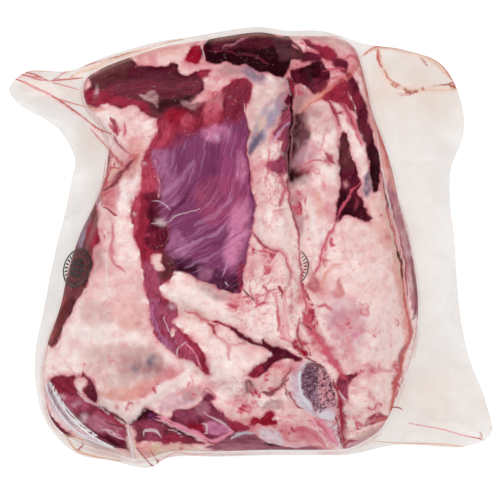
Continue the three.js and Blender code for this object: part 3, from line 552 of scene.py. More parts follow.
# Strokes: colour, half width in squares, strength, path
BANDS = [
    ("old_rose", 3.2, 0.6, [350, 447, 364, 439, 378, 431, 390, 420]),
    ("brick", 4, 0.7, [138, 155, 126, 168, 114, 182, 104, 193]),
    ("salmon", 4, 0.85, [358, 68, 369, 90, 377, 116, 383, 144, 390, 170, 396, 192]),
    ("rose_red", 5.6, 0.95, [306, 318, 311, 328, 317, 338, 325, 349, 333, 360, 339, 370, 343, 377]),
    ("rose_red", 2.4, 0.9, [341, 104, 348, 112, 353, 124, 357, 134]),
    ("brick", 2.2, 0.85, [405, 296, 408, 315, 410, 331, 407, 346, 402, 360, 398, 376, 394, 392, 391, 408,
        388, 418]),
    ("claret", 2, 0.7, [404, 346, 401, 358, 399, 368]),
    ("claret", 1.8, 0.8, [410, 254, 413, 270, 416, 290, 416, 310, 414, 318]),
    ("rose", 1.6, 0.8, [417, 324, 419, 340, 415, 356, 410, 368]),
    ("crimson", 3.8, 1, [335, 384, 338, 396, 340, 410, 342, 424, 343, 438, 345, 448]),
    ("ruby", 3.4, 1, [292, 344, 299, 348, 307, 356]),
    ("rose", 2, 0.8, [276, 296, 278, 312, 280, 326, 286, 338, 294, 346]),
    ("rose", 1.8, 0.7, [283, 292, 284, 312, 287, 326, 291, 338]),
    ("rose", 2, 0.7, [282, 176, 283, 190, 281, 206]),
    ("rose", 2, 0.7, [251, 232, 261, 242, 271, 250, 280, 250, 288, 262, 290, 280, 284, 298]),
    ("rose", 2.4, 0.7, [337, 220, 331, 234, 323, 250, 320, 262, 314, 276, 306, 290]),
    ("salmon", 2, 0.9, [341, 265, 331, 267, 326, 273, 322, 286]),
    ("rose", 2.2, 0.6, [369, 396, 375, 402, 377, 414]),
    ("rose", 2, 0.8, [362, 366, 370, 366, 377, 371, 392, 371]),
    ("rose", 2.2, 0.6, [347, 338, 350, 350, 353, 362]),
    ("rose_red", 2, 0.7, [113, 226, 113, 240, 112, 252, 114, 262, 124, 270]),
    ("rose", 2.6, 0.8, [338, 408, 332, 420, 322, 414, 318, 412]),
    ("rose_red", 2.2, 0.8, [316, 418, 324, 428, 332, 442]),
    ("rose_red", 3, 0.7, [296, 428, 308, 430, 318, 438, 324, 445]),
    ("rose", 2, 0.7, [191, 376, 193, 384, 188, 390, 176, 394]),
    ("ash_rose", 2.4, 0.7, [276, 400, 268, 404, 262, 410]),
    ("brick", 2.2, 0.8, [110, 151, 117, 160, 126, 169]), ("rose_red", 2.6, 0.8, [82, 76, 83, 84, 81, 90]),
    ("salmon", 2.2, 0.8, [84, 92, 84, 104, 92, 108, 106, 108]),
    ("brick", 2, 0.7, [109, 150, 108, 166, 104, 188, 102, 206]),
    ("salmon", 2.4, 0.8, [368, 84, 374, 102, 378, 122]),
    # Painted highlight along the flap's edge, in cream.
    ("cream", 3, 0.9, [98, 403, 112, 411, 127, 421, 140, 409, 152, 399, 172, 387, 192, 373]),
    ("blush", 2.2, 0.9, [126, 426, 129, 438, 131, 450, 136, 460]),
    # The pearl band here is a painted highlight on pleats of the film.
    ("rose", 1.8, 0.8, [139, 446, 147, 456, 154, 464]), ("pearl", 1.6, 0.8, [232, 437, 245, 432, 257, 433]),
    ("ash_rose", 2, 0.8, [180, 452, 200, 451, 230, 453, 260, 453]),
]
# The sinew lines are partly painted glints on the wet lean.
LINES = [
    ("crimson", 1.2, 0.9, [343, 447, 349, 441, 356, 441]),
    # Painted shade along the crease of the long fold.
    ("black_cherry", 1.4, 1, [292, 92, 291, 108, 291, 124, 290, 140, 288, 156, 288, 172]),
    ("rose_red", 1.4, 0.8, [343, 60, 351, 56, 358, 60, 362, 70]),
    ("rust_rose", 2.2, 0.8, [360, 64, 365, 80, 370, 96, 374, 112, 379, 130, 384, 148, 389, 168]),
    ("crimson", 1.6, 0.9, [322, 98, 330, 104, 335, 114, 338, 126]),
    ("rose_red", 1.4, 0.9, [345, 106, 352, 118, 357, 130, 361, 144]),
    ("maroon", 1.4, 0.9, [282, 40, 292, 44, 300, 50, 304, 58]),
    ("ruby", 2.4, 0.8, [326, 155, 330, 159, 334, 163]),
    ("crimson", 1.6, 0.9, [111, 118, 114, 126, 116, 136]),
    ("rose_red", 1.3, 0.8, [123, 124, 125, 130, 123, 136]),
    ("lilac", 1, 0.9, [290, 122, 281, 129, 274, 137, 268, 142]),
    ("dun", 0.9, 0.8, [384, 180, 390, 205, 397, 235, 403, 262, 407, 290, 410, 318]),
    ("brick", 0.8, 0.8, [387, 205, 394, 235, 400, 265, 404, 290, 407, 312]),
    ("buff", 0.9, 0.9, [381, 196, 389, 225, 396, 252, 401, 280, 404, 305]),
    ("crimson", 1, 0.8, [289, 178, 288, 192, 291, 207, 294, 218, 297, 230, 299, 240, 300, 252]),
    ("rose_red", 1, 0.8, [300, 250, 301, 264, 301, 276, 302, 288, 304, 302, 307, 312]),
    ("crimson", 1.5, 0.9, [303, 284, 305, 293, 309, 300]),
    ("rose_red", 1.2, 0.7, [186, 311, 197, 316, 205, 320, 214, 323]),
    ("crimson", 1.3, 1, [213, 323, 221, 324, 229, 326, 236, 331]),
    ("maroon", 2.2, 1, [230, 327, 238, 334, 246, 340, 256, 344, 266, 347]),
    ("ruby", 1.6, 0.9, [207, 323, 212, 327, 216, 333]),
    ("rose", 1.2, 0.8, [215, 333, 223, 341, 229, 349, 229, 360]),
    ("rose", 1, 0.7, [222, 343, 234, 345, 246, 344]),
    ("claret", 2, 0.9, [263, 392, 270, 394, 277, 390, 282, 386, 287, 381]),
    ("claret", 1.3, 0.8, [291, 369, 288, 375, 284, 379]),
    ("claret", 0.9, 0.8, [287, 380, 287, 390, 290, 398]),
    ("crimson", 1.2, 0.9, [291, 392, 293, 398, 297, 405, 302, 408]),
    ("claret", 1.4, 0.9, [306, 358, 314, 361, 322, 367, 328, 376, 333, 386]),
    ("rose_red", 1, 0.8, [278, 306, 278, 318, 279, 330]),
    ("ruby", 1.2, 0.8, [299, 319, 298, 330, 300, 342]),
    ("crimson", 1.4, 0.8, [252, 233, 258, 240, 264, 246, 272, 250, 279, 250]),
    ("rose_red", 0.9, 0.7, [279, 250, 285, 258, 289, 270, 290, 280]),
    ("rose_red", 1.2, 0.8, [281, 178, 284, 184, 286, 192]),
    ("rose_red", 0.9, 0.7, [283, 192, 281, 200, 280, 206]),
    ("ruby", 1.4, 0.9, [279, 286, 282, 292, 281, 298]),
    ("rose_red", 1, 0.9, [336, 222, 330, 234, 325, 244, 321, 252, 319, 262, 314, 274]),
    ("rose_red", 1, 0.7, [303, 165, 314, 161, 326, 161]),
    ("rose_red", 1.2, 0.9, [359, 182, 351, 192, 343, 205, 336, 217]),
    ("claret", 1.1, 0.8, [342, 104, 350, 114, 354, 126]),
    ("salmon", 2.6, 0.9, [298, 111, 308, 104, 318, 96, 326, 90]),
    ("brick", 2.8, 0.6, [316, 98, 326, 89, 338, 82, 348, 73, 357, 66, 363, 60]),
    ("rust_rose", 1, 0.8, [303, 111, 314, 102, 326, 93, 338, 85, 348, 78, 357, 70]),
    ("sinew", 0.7, 0.7, [284, 77, 287, 88, 291, 96]), ("crimson", 1.6, 0.9, [288, 77, 291, 85, 293, 95]),
    ("sinew", 0.6, 0.6, [200, 42, 203, 50, 205, 60]), ("old_rose", 1.2, 0.8, [222, 48, 225, 46, 229, 44]),
    ("old_rose", 1.4, 0.8, [231, 46, 238, 41, 246, 38]),
    ("claret", 1.2, 0.5, [210, 52, 230, 52, 252, 56, 270, 64]), ("sinew", 0.6, 0.6, [246, 102, 245, 112]),
    ("maroon", 0.9, 0.7, [246, 112, 248, 130, 247, 152, 248, 170, 250, 188, 254, 200]),
    ("maroon", 1.2, 0.7, [226, 100, 224, 110, 227, 120]),
    ("sinew", 0.6, 0.5, [152, 201, 159, 202, 166, 207, 171, 211]),
    ("sinew", 0.6, 0.5, [151, 224, 160, 223, 168, 221, 178, 216, 190, 212, 199, 208]),
    ("aubergine", 1.6, 0.55, [169, 216, 178, 206, 184, 199, 191, 189, 195, 183]),
    ("lilac", 1.8, 0.45, [176, 252, 190, 245, 204, 239, 215, 233, 226, 224]),
    ("lilac", 1.4, 0.35, [182, 256, 192, 247, 198, 244]), ("lilac", 1, 0.7, [223, 277, 226, 269, 230, 261]),
    ("lilac", 2.4, 0.3, [163, 196, 172, 186, 184, 176, 192, 162]),
    ("lilac", 2, 0.3, [196, 226, 210, 218, 222, 208, 234, 196]),
    ("lilac", 1.6, 0.3, [186, 268, 200, 262, 214, 254, 226, 246]),
    ("aubergine", 1.6, 0.4, [196, 252, 210, 246, 224, 238, 232, 228]),
    ("sinew", 0.7, 0.6, [226, 281, 228, 285]), ("black_cherry", 1, 0.8, [243, 289, 249, 296, 254, 300]),
    ("dusk", 1, 0.8, [152, 298, 154, 314, 158, 330, 166, 342]),
    ("ruby", 0.9, 0.8, [153, 300, 155, 316, 160, 330]),
    ("sinew", 0.9, 0.7, [186, 341, 181, 345, 178, 350, 178, 357]),
    ("pink", 0.9, 0.9, [186, 343, 193, 351, 199, 360, 203, 369]),
    ("sinew", 0.6, 0.6, [164, 318, 168, 326, 171, 336]), ("sinew", 0.7, 0.6, [172, 335, 178, 330]),
    ("sinew", 0.9, 0.7, [76, 392, 84, 398, 94, 403, 104, 410, 109, 414]),
    # Painted shade under the flap's edge.
    ("maroon", 1, 0.9, [98, 406, 110, 413, 122, 420, 126, 424]),
    ("black_cherry", 1.2, 0.8, [92, 431, 102, 436, 112, 441, 122, 447]),
    ("sinew", 0.6, 0.6, [100, 429, 110, 431, 120, 435]),
    ("sinew", 0.6, 0.6, [107, 433, 117, 436, 126, 441]),
    ("garnet", 0.9, 0.8, [104, 421, 114, 424, 126, 429]),
    ("claret", 1.6, 0.9, [49, 418, 56, 426, 64, 432, 71, 435]),
    ("claret", 1.2, 0.8, [84, 372, 88, 378, 92, 385, 96, 393]),
    ("garnet", 0.9, 0.8, [49, 380, 53, 390, 58, 400, 66, 410, 76, 422]),
    ("pink", 1.8, 0.9, [158, 416, 170, 421, 183, 427, 196, 433, 208, 439, 218, 438, 232, 432]),
    ("sinew", 0.6, 0.6, [183, 431, 195, 437, 204, 441]),
    ("black_cherry", 1, 0.8, [150, 420, 165, 425, 180, 432, 197, 439]),
    ("sinew", 0.9, 0.7, [144, 435, 143, 430, 150, 429, 157, 431, 161, 437]),
    ("sinew", 0.6, 0.6, [168, 428, 175, 432, 181, 437]),
    ("old_rose", 0.8, 0.8, [200, 397, 204, 391, 209, 389, 216, 396]),
    ("old_rose", 1, 0.9, [202, 400, 206, 395, 211, 392]),
    ("sinew", 0.9, 0.7, [205, 412, 209, 417, 216, 420, 224, 424, 230, 430]),
    ("sinew", 0.9, 0.7, [202, 424, 206, 427, 207, 432]),
    ("crimson", 1, 0.9, [204, 438, 209, 441, 216, 443]),
    ("black_cherry", 1, 0.9, [266, 443, 272, 445, 281, 446]),
    ("sinew", 0.7, 0.6, [275, 431, 277, 437, 279, 443]),
    ("sinew", 0.7, 0.6, [262, 441, 275, 443, 290, 446, 310, 447]),
    ("pink", 1.4, 0.9, [319, 413, 325, 424, 331, 436, 336, 446]),
    ("sinew", 0.8, 0.7, [338, 392, 343, 400, 346, 402]), ("claret", 1, 0.9, [336, 416, 339, 430, 341, 446]),
    ("brick", 1.2, 0.9, [374, 422, 382, 420, 389, 418]),
    ("rose_red", 1.2, 0.8, [319, 307, 324, 304, 331, 309]),
    ("claret", 1.3, 0.8, [302, 322, 307, 325, 312, 330]),
    ("black_cherry", 0.9, 0.8, [383, 180, 386, 192, 389, 208]),
    ("black_cherry", 1.3, 0.9, [395, 240, 398, 254, 401, 268, 404, 278]),
    ("claret", 0.9, 0.8, [380, 166, 385, 180, 391, 200, 396, 222, 400, 240, 404, 258, 407, 280]),
    ("sinew", 0.7, 0.6, [382, 168, 388, 190, 394, 216, 399, 238, 403, 256]),
    ("claret", 1.1, 0.8, [400, 248, 404, 262, 406, 276, 408, 296]),
    ("black_cherry", 1.4, 0.8, [372, 184, 376, 188, 373, 191]),
    ("claret", 1.8, 0.9, [133, 160, 126, 169, 118, 178, 110, 187, 104, 191]),
    ("crimson", 1.2, 0.9, [105, 208, 110, 212, 116, 214]),
    ("claret", 0.8, 0.8, [110, 151, 108, 160, 108, 172]), ("rose_red", 1, 0.8, [110, 167, 118, 169]),
    ("rose_red", 0.9, 0.7, [97, 137, 104, 144, 110, 151]),
    ("mauve_red", 0.9, 0.8, [113, 138, 120, 146, 128, 154]),
    ("black_cherry", 0.8, 0.8, [100, 71, 104, 66, 110, 62, 120, 59, 132, 58]),
    ("garnet", 0.7, 0.8, [108, 60, 120, 57, 134, 53, 150, 49]),
    ("rose_red", 1.2, 0.7, [324, 72, 334, 70, 344, 69]), ("rose_red", 1, 0.7, [328, 80, 336, 78, 343, 77]),
    ("rose_red", 1.2, 0.6, [352, 66, 358, 63, 364, 61]),
]

# Where fat is broken into lobes with pink seams between them: centre, half sizes, turn, strength
SEAM_DABS = [
    (272, 180, 22, 50, 0, 0.8), (268, 300, 60, 40, 10, 0.8), (318, 150, 20, 44, 0, 0.6),
    (330, 250, 40, 34, 0, 0.45), (270, 400, 60, 34, 0, 0.7), (355, 350, 40, 50, 0, 0.5),
    (216, 346, 34, 26, 30, 0.35), (322, 66, 34, 26, 0, 0.7), (140, 128, 30, 30, 0, 0.4),
    (222, 76, 40, 10, 5, 0.7), (340, 420, 30, 24, 0, 0.6), (110, 240, 24, 40, 0, 0.3),
]

# Where the fat is streaked and blotched with blood: centre, half sizes, turn, strength
MARBLE_DABS = [
    (321, 50, 18, 9, 15, 1.3), (336, 75, 13, 7, -20, 1.1), (300, 43, 9, 4, 0, 0.8),
    (268, 260, 16, 22, 0, 0.95), (341, 110, 9, 12, 20, 1), (300, 66, 12, 6, -10, 0.9),
    (268, 164, 17, 8, 0, 1), (281, 184, 5, 14, 0, 0.9), (311, 318, 10, 20, 0, 1),
    (300, 344, 12, 9, 30, 1.1), (266, 373, 20, 9, -35, 1), (262, 391, 26, 9, 0, 0.9),
    (292, 426, 34, 15, 0, 0.9), (238, 410, 20, 10, 0, 0.9), (350, 388, 12, 12, 0, 0.55),
    (372, 404, 14, 12, 0, 0.9), (360, 425, 12, 10, 0, 0.9), (342, 322, 18, 22, 10, 0.75),
    (262, 290, 20, 34, 0, 0.65), (299, 204, 8, 24, 0, 0.85), (109, 176, 9, 34, 10, 1),
    (190, 62, 24, 6, 0, 0.9), (216, 92, 9, 13, 0, 0.8), (192, 388, 12, 9, 0, 0.85),
    (398, 380, 7, 28, 0, 0.9), (115, 128, 10, 12, 0, 1), (370, 370, 20, 6, 0, 0.95),
    (234, 306, 10, 10, 0, 0.8), (254, 250, 10, 18, 0, 0.8), (327, 250, 7, 22, 20, 0.85),
    (60, 352, 10, 12, 0, 0.5), (110, 235, 10, 24, 0, 0.6), (330, 160, 10, 5, 0, 1),
    (338, 288, 8, 10, 10, 0.9), (345, 345, 60, 60, 0, 0.42), (225, 345, 50, 40, 0, 0.34),
    (110, 310, 50, 60, 0, 0.3), (150, 390, 44, 8, -28, 0.75), (380, 150, 8, 60, -8, 0.5),
    (300, 90, 8, 12, 0, 0.8), (285, 330, 12, 24, 0, 0.75), (172, 446, 30, 6, 0, 0.6),
]

# Steps where one layer lies on another: height in millimetres, reach in squares, path with the
# higher side on the left of a walker going down the sheet
LEDGES = [
    (2.4, 12, [285, 77, 291, 95, 291, 112, 288, 135, 286, 150, 289, 170, 289, 190, 292, 208, 298, 232,
        300, 252, 301, 276, 304, 300]),
    (1.2, 9, [194, 372, 172, 387, 152, 400, 138, 412, 127, 423, 110, 413, 94, 403]),
    (1.6, 8, [242, 290, 233, 295, 218, 288, 200, 281, 182, 273, 172, 268]),
    (1.4, 8, [348, 70, 357, 108, 367, 148, 371, 180, 374, 194]),
    (1.2, 8, [213, 402, 222, 414, 234, 422, 252, 427, 270, 424, 284, 410]),
]

# Narrow grooves: depth in millimetres, half width in squares, path
GROOVES = [
    (-3.8, 11, [299, 308, 301, 328, 303, 346]),
    (2.6, 4, [184, 309, 205, 320, 228, 326, 245, 339, 262, 346, 282, 352]),
    (2.4, 5, [280, 353, 268, 362, 250, 377, 247, 388]),
    (1.5, 3, [302, 282, 305, 300, 309, 318, 320, 340, 334, 358, 342, 378, 340, 410, 344, 445]),
    (1.6, 3, [254, 234, 266, 248, 282, 252, 290, 276, 284, 298, 279, 325, 290, 342]),
    (1.4, 3, [337, 220, 325, 246, 318, 266, 306, 288]), (1.4, 3, [343, 133, 340, 160, 340, 190, 336, 216]),
    (1.2, 3, [247, 112, 248, 160, 252, 195]),
    (1.2, 3, [156, 166, 160, 192, 158, 220, 168, 230, 166, 250, 176, 272]),
    (1.2, 3, [380, 165, 388, 195, 397, 235, 404, 275, 409, 330]),
    (1.2, 3, [288, 368, 287, 384, 276, 392, 262, 392]), (1.2, 3, [346, 372, 366, 372, 392, 371]),
    (1, 3, [205, 84, 184, 106, 158, 117]),
]

# Sawn face of the bone: its spongy part, and shades as above
SPONGY = [304, 363, 312, 362, 320, 366, 329, 375, 335, 386, 338, 400, 335, 406, 327, 408, 320, 413,
    314, 410, 311, 402, 304, 396, 301, 386, 301, 376]
BONE_SHADES = [
    ("mauve", 0.85, 4, [300, 350, 330, 350, 345, 380, 345, 420, 300, 420]),
    ("ash_rose", 0.9, 4, [300, 352, 320, 356, 332, 372, 324, 378, 308, 372]),
    ("plum_grey", 0.75, 6, [303, 366, 313, 365, 318, 376, 318, 392, 315, 402, 308, 400, 301, 386]),
    ("pearl", 1, 2, [301, 358, 305, 364, 301, 377, 302, 388, 307, 398, 313, 409, 306, 414, 288, 396,
        288, 366]),
    ("pearl", 0.65, 7, [318, 412, 330, 407, 338, 418, 342, 440, 326, 430]),
    ("rose", 0.55, 5, [322, 368, 334, 378, 342, 394, 336, 410, 322, 404]),
]
DENSE_DABS = [
    (327, 376, 8, 14, 0, 0.3), (331, 396, 8, 12, 0, 0.25), (309, 382, 9, 24, 10, 1),
    (315, 362, 10, 8, 20, 0.9), (316, 406, 8, 6, 0, 0.7),
]

# Film: painted highlights and painted shade along its pleats, and juice stained in its creases, as colour,
# half width, strength, path
PLEATS = [
    ("rust_buff", 2.6, 0.5, [72, 76, 84, 71, 98, 66, 112, 60, 130, 54, 150, 48]),
    # The whitest film strokes are painted highlights along the film's pleats, and the grey-mauve one is
    # painted shade between them.
    ("film_highlight", 0.9, 0.8, [45, 380, 48, 392, 56, 408, 66, 422, 80, 434, 98, 443, 118, 450]),
    ("film_highlight", 1, 0.85, [49, 380, 55, 394, 65, 410, 79, 426, 97, 439, 115, 448]),
    ("film_highlight", 0.8, 0.7, [53, 384, 60, 398, 70, 412, 84, 426, 98, 436]),
    ("film_shade", 0.8, 0.7, [47, 384, 53, 398, 62, 412, 74, 426]),
    ("film_highlight", 1.2, 0.5, [128, 428, 130, 440, 132, 450, 134, 460]),
    ("film_highlight", 0.8, 0.5, [107, 250, 107, 270, 108, 298]),
    ("film_highlight", 0.8, 0.45, [376, 128, 379, 150, 384, 178, 392, 214]),
    ("film_highlight", 1, 0.35, [350, 412, 353, 424, 357, 433]),
    ("film_highlight", 1, 0.3, [386, 300, 383, 320, 382, 340, 388, 360]),
    ("rust_buff", 2.4, 0.45, [362, 56, 378, 48, 400, 50, 428, 58, 450, 78]),
    ("rust_buff", 2.6, 0.4, [380, 52, 384, 72, 396, 86, 420, 90, 460, 90]),
    ("rust_rose", 1.4, 0.95, [362, 56, 370, 50, 378, 47, 395, 48, 415, 50, 428, 57, 440, 62, 450, 76,
        460, 90]),
    ("rust_rose", 1.7, 0.9, [378, 49, 378, 58, 383, 69, 388, 78, 394, 83, 402, 86]),
    ("rust", 1.3, 0.9, [388, 82, 396, 87, 404, 89, 411, 93, 420, 90, 425, 87]),
    ("rust", 1, 0.9, [425, 87, 437, 86, 449, 85, 456, 88, 463, 93]), ("rust", 0.6, 0.6, [421, 58, 427, 66]),
    ("rust_rose", 0.6, 0.5, [397, 96, 409, 95]), ("rust", 0.8, 0.8, [392, 408, 396, 407, 402, 409]),
    ("rust_rose", 0.8, 0.5, [408, 423, 430, 427, 445, 430, 462, 435, 480, 439, 491, 444]),
    ("rust", 0.7, 0.7, [472, 437, 481, 439]), ("rust", 0.7, 0.6, [480, 432, 483, 437]),
    ("rust_buff", 0.7, 0.6, [372, 441, 400, 443, 440, 444, 470, 447, 491, 444]),
    ("rust_buff", 0.6, 0.6, [470, 447, 482, 444, 491, 443]),
    ("rust_buff", 0.8, 0.5, [491, 426, 492, 436, 491, 443]),
    ("rust_rose", 0.8, 0.8, [12, 74, 20, 72, 30, 73, 40, 77, 49, 81]),
    ("rust_rose", 0.8, 0.7, [13, 74, 28, 76, 36, 79, 48, 81]),
    ("rust_rose", 1, 0.95, [9, 76, 28, 84, 40, 90, 47, 93, 60, 101, 80, 115, 97, 128, 111, 134]),
    ("blush", 1.8, 0.4, [30, 87, 50, 97, 70, 110, 90, 124, 104, 140]),
    ("rust_rose", 0.7, 0.6, [51, 81, 58, 77, 66, 72, 76, 68, 90, 64, 110, 59]),
    ("rust", 0.7, 0.9, [108, 59, 120, 56, 132, 52, 142, 50]),
    ("rust_buff", 0.8, 0.6, [142, 50, 155, 46, 170, 42, 184, 39]),
    ("rust_buff", 0.8, 0.5, [12, 73, 30, 71, 50, 71, 71, 71]),
    ("rust_rose", 0.8, 0.8, [50, 81, 60, 80, 72, 79, 82, 78]),
    ("rust_rose", 0.6, 0.6, [53, 83, 66, 86, 79, 90]), ("rust_rose", 0.6, 0.6, [60, 99, 75, 104, 92, 108]),
    ("rust_rose", 0.7, 0.6, [90, 128, 100, 140, 110, 150]),
    ("rust", 0.7, 0.8, [137, 448, 145, 458, 153, 466, 158, 463, 150, 450]),
    ("rust", 0.8, 0.7, [77, 451, 81, 447, 85, 443]),
    ("rust_buff", 1, 0.7, [66, 436, 76, 450, 90, 455, 106, 459, 122, 461]),
    ("rust_buff", 0.7, 0.6, [62, 434, 72, 436, 84, 441]),
    ("rust_rose", 0.6, 0.5, [106, 160, 104, 174, 102, 190, 98, 204]),
    ("rust_rose", 0.7, 0.5, [160, 460, 168, 456, 176, 452, 190, 454, 204, 454, 216, 452]),
]

# Ink stamps on the film: centre, half sizes, turn in degrees, first column in which the stamp shows
STAMPS = [((77, 268), (13.5, 20), 17, 0), ((294, 267), (15, 18), 8, 301)]

# Where the film is warm with juice: centre, half sizes, turn in degrees, strength
WARM_DABS = [
    (410, 90, 60, 50, 0, 1), (412, 240, 22, 120, 0, 0.5), (430, 400, 60, 40, 0, 0.7),
    (60, 86, 60, 16, 10, 0.9), (100, 140, 20, 40, 0, 0.8), (100, 450, 40, 14, 15, 1),
    (170, 445, 50, 16, 0, 1), (240, 40, 120, 14, 0, 0.5),
]

# Where the film shows whiter over the meat: partly milky film, partly a painted sheen along the pleats at
# the lower left and over the bulge of the left fat; centre, half sizes, turn in degrees, strength
VEIL_AND_SHEEN_DABS = [
    (72, 418, 34, 5, 47, 0.28), (100, 446, 26, 5, 22, 0.3), (131, 446, 4, 18, 0, 0.35),
    (96, 336, 26, 7, 0, 0.12), (95, 225, 3, 30, 20, 0.15), (400, 230, 4, 60, -16, 0.12),
    (368, 434, 16, 4, -24, 0.25), (168, 454, 24, 4, -4, 0.3),
]


def srgb(red, green, blue):
    """The linear colour of a screen colour given from 0 to 255."""
    shares = (value / 255 for value in (red, green, blue))
    return tuple(s / 12.92 if s <= 0.04045 else ((s + 0.055) / 1.055) ** 2.4 for s in shares)


def smooth(low, high, value):
    """Rises from 0 at low to 1 at high along a cubic with level ends."""
    share = np.clip((value - low) / (high - low), 0, 1)
    return share * share * (3 - 2 * share)


def lumps(x, y, size, seed):
    """Smooth random heights from -1 to 1: random values on a square lattice, blended between its corners."""
    table = np.random.default_rng(seed).uniform(-1, 1, (64, 64))
    u, v = x / size + 1000.3, y / size + 1000.7
    i, j = np.floor(u).astype(int), np.floor(v).astype(int)
    fu, fv = smooth(0, 1, u - i), smooth(0, 1, v - j)
    corner = lambda a, b: table[(i + a) % 64, (j + b) % 64]
    lower = corner(0, 0) * (1 - fu) + corner(1, 0) * fu
    upper = corner(0, 1) * (1 - fu) + corner(1, 1) * fu
    return lower * (1 - fv) + upper * fv


def pairs(numbers):
    """Places, two numbers each."""
    return np.reshape(numbers, (-1, 2)).astype(float)


def closed_curve(points, steps):
    """A closed curve through the points: each stretch is the cubic whose end slopes fit the root of
    the distances to its neighbours, cut into equal steps of its own parameter."""
    before, here = np.roll(points, 1, axis=0), points
    after, beyond = np.roll(points, -1, axis=0), np.roll(points, -2, axis=0)
    root = lambda a, b: np.sqrt(np.linalg.norm(b - a, axis=1))[:, None]
    d0, d1, d2 = root(before, here), root(here, after), root(after, beyond)
    slope_in = ((here - before) / d0 - (after - before) / (d0 + d1) + (after - here) / d1) * d1
    slope_out = ((after - here) / d1 - (beyond - here) / (d1 + d2) + (beyond - after) / d2) * d1
    t = (np.arange(steps) / steps)[None, :, None]
    a, b, m, n = here[:, None], after[:, None], slope_in[:, None], slope_out[:, None]
    curve = (a * (2 * t**3 - 3 * t**2 + 1) + m * (t**3 - 2 * t**2 + t)
             + b * (3 * t**2 - 2 * t**3) + n * (t**3 - t**2))
    return curve.reshape(-1, points.shape[1])


def open_curve(points, steps):
    """A curve through the points with evenly blended slopes, cut into steps for each stretch."""
    p = pairs(points)
    p = np.vstack([2 * p[0] - p[1], p, 2 * p[-1] - p[-2]])
    t = (np.arange(steps) / steps)[None, :, None]
    a, b, c, d = p[:-3, None], p[1:-2, None], p[2:-1, None], p[3:, None]
    curve = 0.5 * (2 * b + (c - a) * t + (2 * a - 5 * b + 4 * c - d) * t**2 + (3 * b - a - 3 * c + d) * t**3)
    return np.vstack([curve.reshape(-1, 2), p[-2]])


def path_distance(path, x, y):
    """Of each place: its distance to the path, signed (positive on the left of its direction), and
    how far along the path, from 0 to 1, the nearest point lies."""
    path = pairs(path)
    start, step = path[:-1], np.diff(path, axis=0)
    lengths = np.linalg.norm(step, axis=1)
    dx, dy = x[:, None] - start[:, 0], y[:, None] - start[:, 1]
    share = np.clip((dx * step[:, 0] + dy * step[:, 1]) / lengths**2, 0, 1)
    off_x, off_y = dx - share * step[:, 0], dy - share * step[:, 1]
    off = np.hypot(off_x, off_y)
    nearest = off.argmin(axis=1)
    row = np.arange(len(x))
    side = np.sign(step[nearest, 0] * dy[row, nearest] - step[nearest, 1] * dx[row, nearest])
    gone = np.concatenate([[0], np.cumsum(lengths)])
    along = (gone[nearest] + share[row, nearest] * lengths[nearest]) / gone[-1]
    return off[row, nearest], np.where(side == 0, 1, side), along


def inside_distance(outline, x, y):
    """Distance to a closed outline, positive inside and negative outside, no less than -FAR."""
    curve = closed_curve(pairs(outline), 4)
    result = np.full(len(x), -FAR)
    low, high = curve.min(0) - FAR, curve.max(0) + FAR
    near = (x > low[0]) & (x < high[0]) & (y > low[1]) & (y < high[1])
    px, py = x[near], y[near]
    off = path_distance(np.vstack([curve, curve[:1]]), px, py)[0]
    ax, ay = curve[:, 0], curve[:, 1]
    bx, by = np.roll(ax, -1), np.roll(ay, -1)
    spans = (ay > py[:, None]) != (by > py[:, None])
    rise = np.where(by == ay, 1e-9, by - ay)
    crossed = spans & (px[:, None] < (bx - ax) * (py[:, None] - ay) / rise + ax)
    inside = crossed.sum(axis=1) % 2 == 1
    result[near] = np.maximum(np.where(inside, off, -off), -FAR)
    return result


def oval_share(dab, x, y):
    """1 in the middle of a turned oval, falling smoothly to 0 outside it."""
    cx, cy, half_long, half_wide, turn = dab[:5]
    c, s = math.cos(math.radians(turn)), math.sin(math.radians(turn))
    dx, dy = x - cx, y - cy
    out = np.hypot((dx * c + dy * s) / half_long, (dy * c - dx * s) / half_wide)
    return np.exp(-(out**3))


class Outline:
    """The leg's edge, its rounder core and the bag's edge, each as one point per step round the pack."""

    def __init__(self, steps_each):
        curve = closed_curve(STATIONS, steps_each)
        self.leg, self.bag = curve[:, :2], curve[:, 2:]
        self.count = len(curve)
        reach = round(CORE_SPREAD * self.count)
        wrapped = np.vstack([self.leg[-reach:], self.leg, self.leg[:reach]])
        kernel = np.ones(2 * reach + 1) / (2 * reach + 1)
        self.core = np.stack([np.convolve(wrapped[:, k], kernel, "valid") for k in (0, 1)], axis=1)

    def ring(self, share):
        """Plan places on the rings at these shares of the way out, as (ring, step, 2)."""
        share = np.asarray(share)[:, None, None]
        edge = self.core + (self.leg - self.core) * share**CORE_FADE
        return CENTRE + (edge - CENTRE) * share


def smooth_height(x, y, share):
    """The leg's solid top: a dome that falls away late towards the rim, with bells of height over the
    lobes and furrows along the creases."""
    height = RIM_HEIGHT + (CROWN_HEIGHT - RIM_HEIGHT) * (1 - share**SHOULDER_START) ** SHOULDER_ROUND
    change = np.zeros_like(height)
    for lobe in LOBES:
        change += lobe[-1] * oval_share(lobe, x, y)
    flat_x, flat_y = x.ravel(), y.ravel()
    for deep, wide, path in CREASES:
        off = path_distance(path, flat_x, flat_y)[0].reshape(x.shape)
        change -= deep * np.exp(-((off / wide) ** 2))
    return height + change * (1 - smooth(0.9, 1, share))


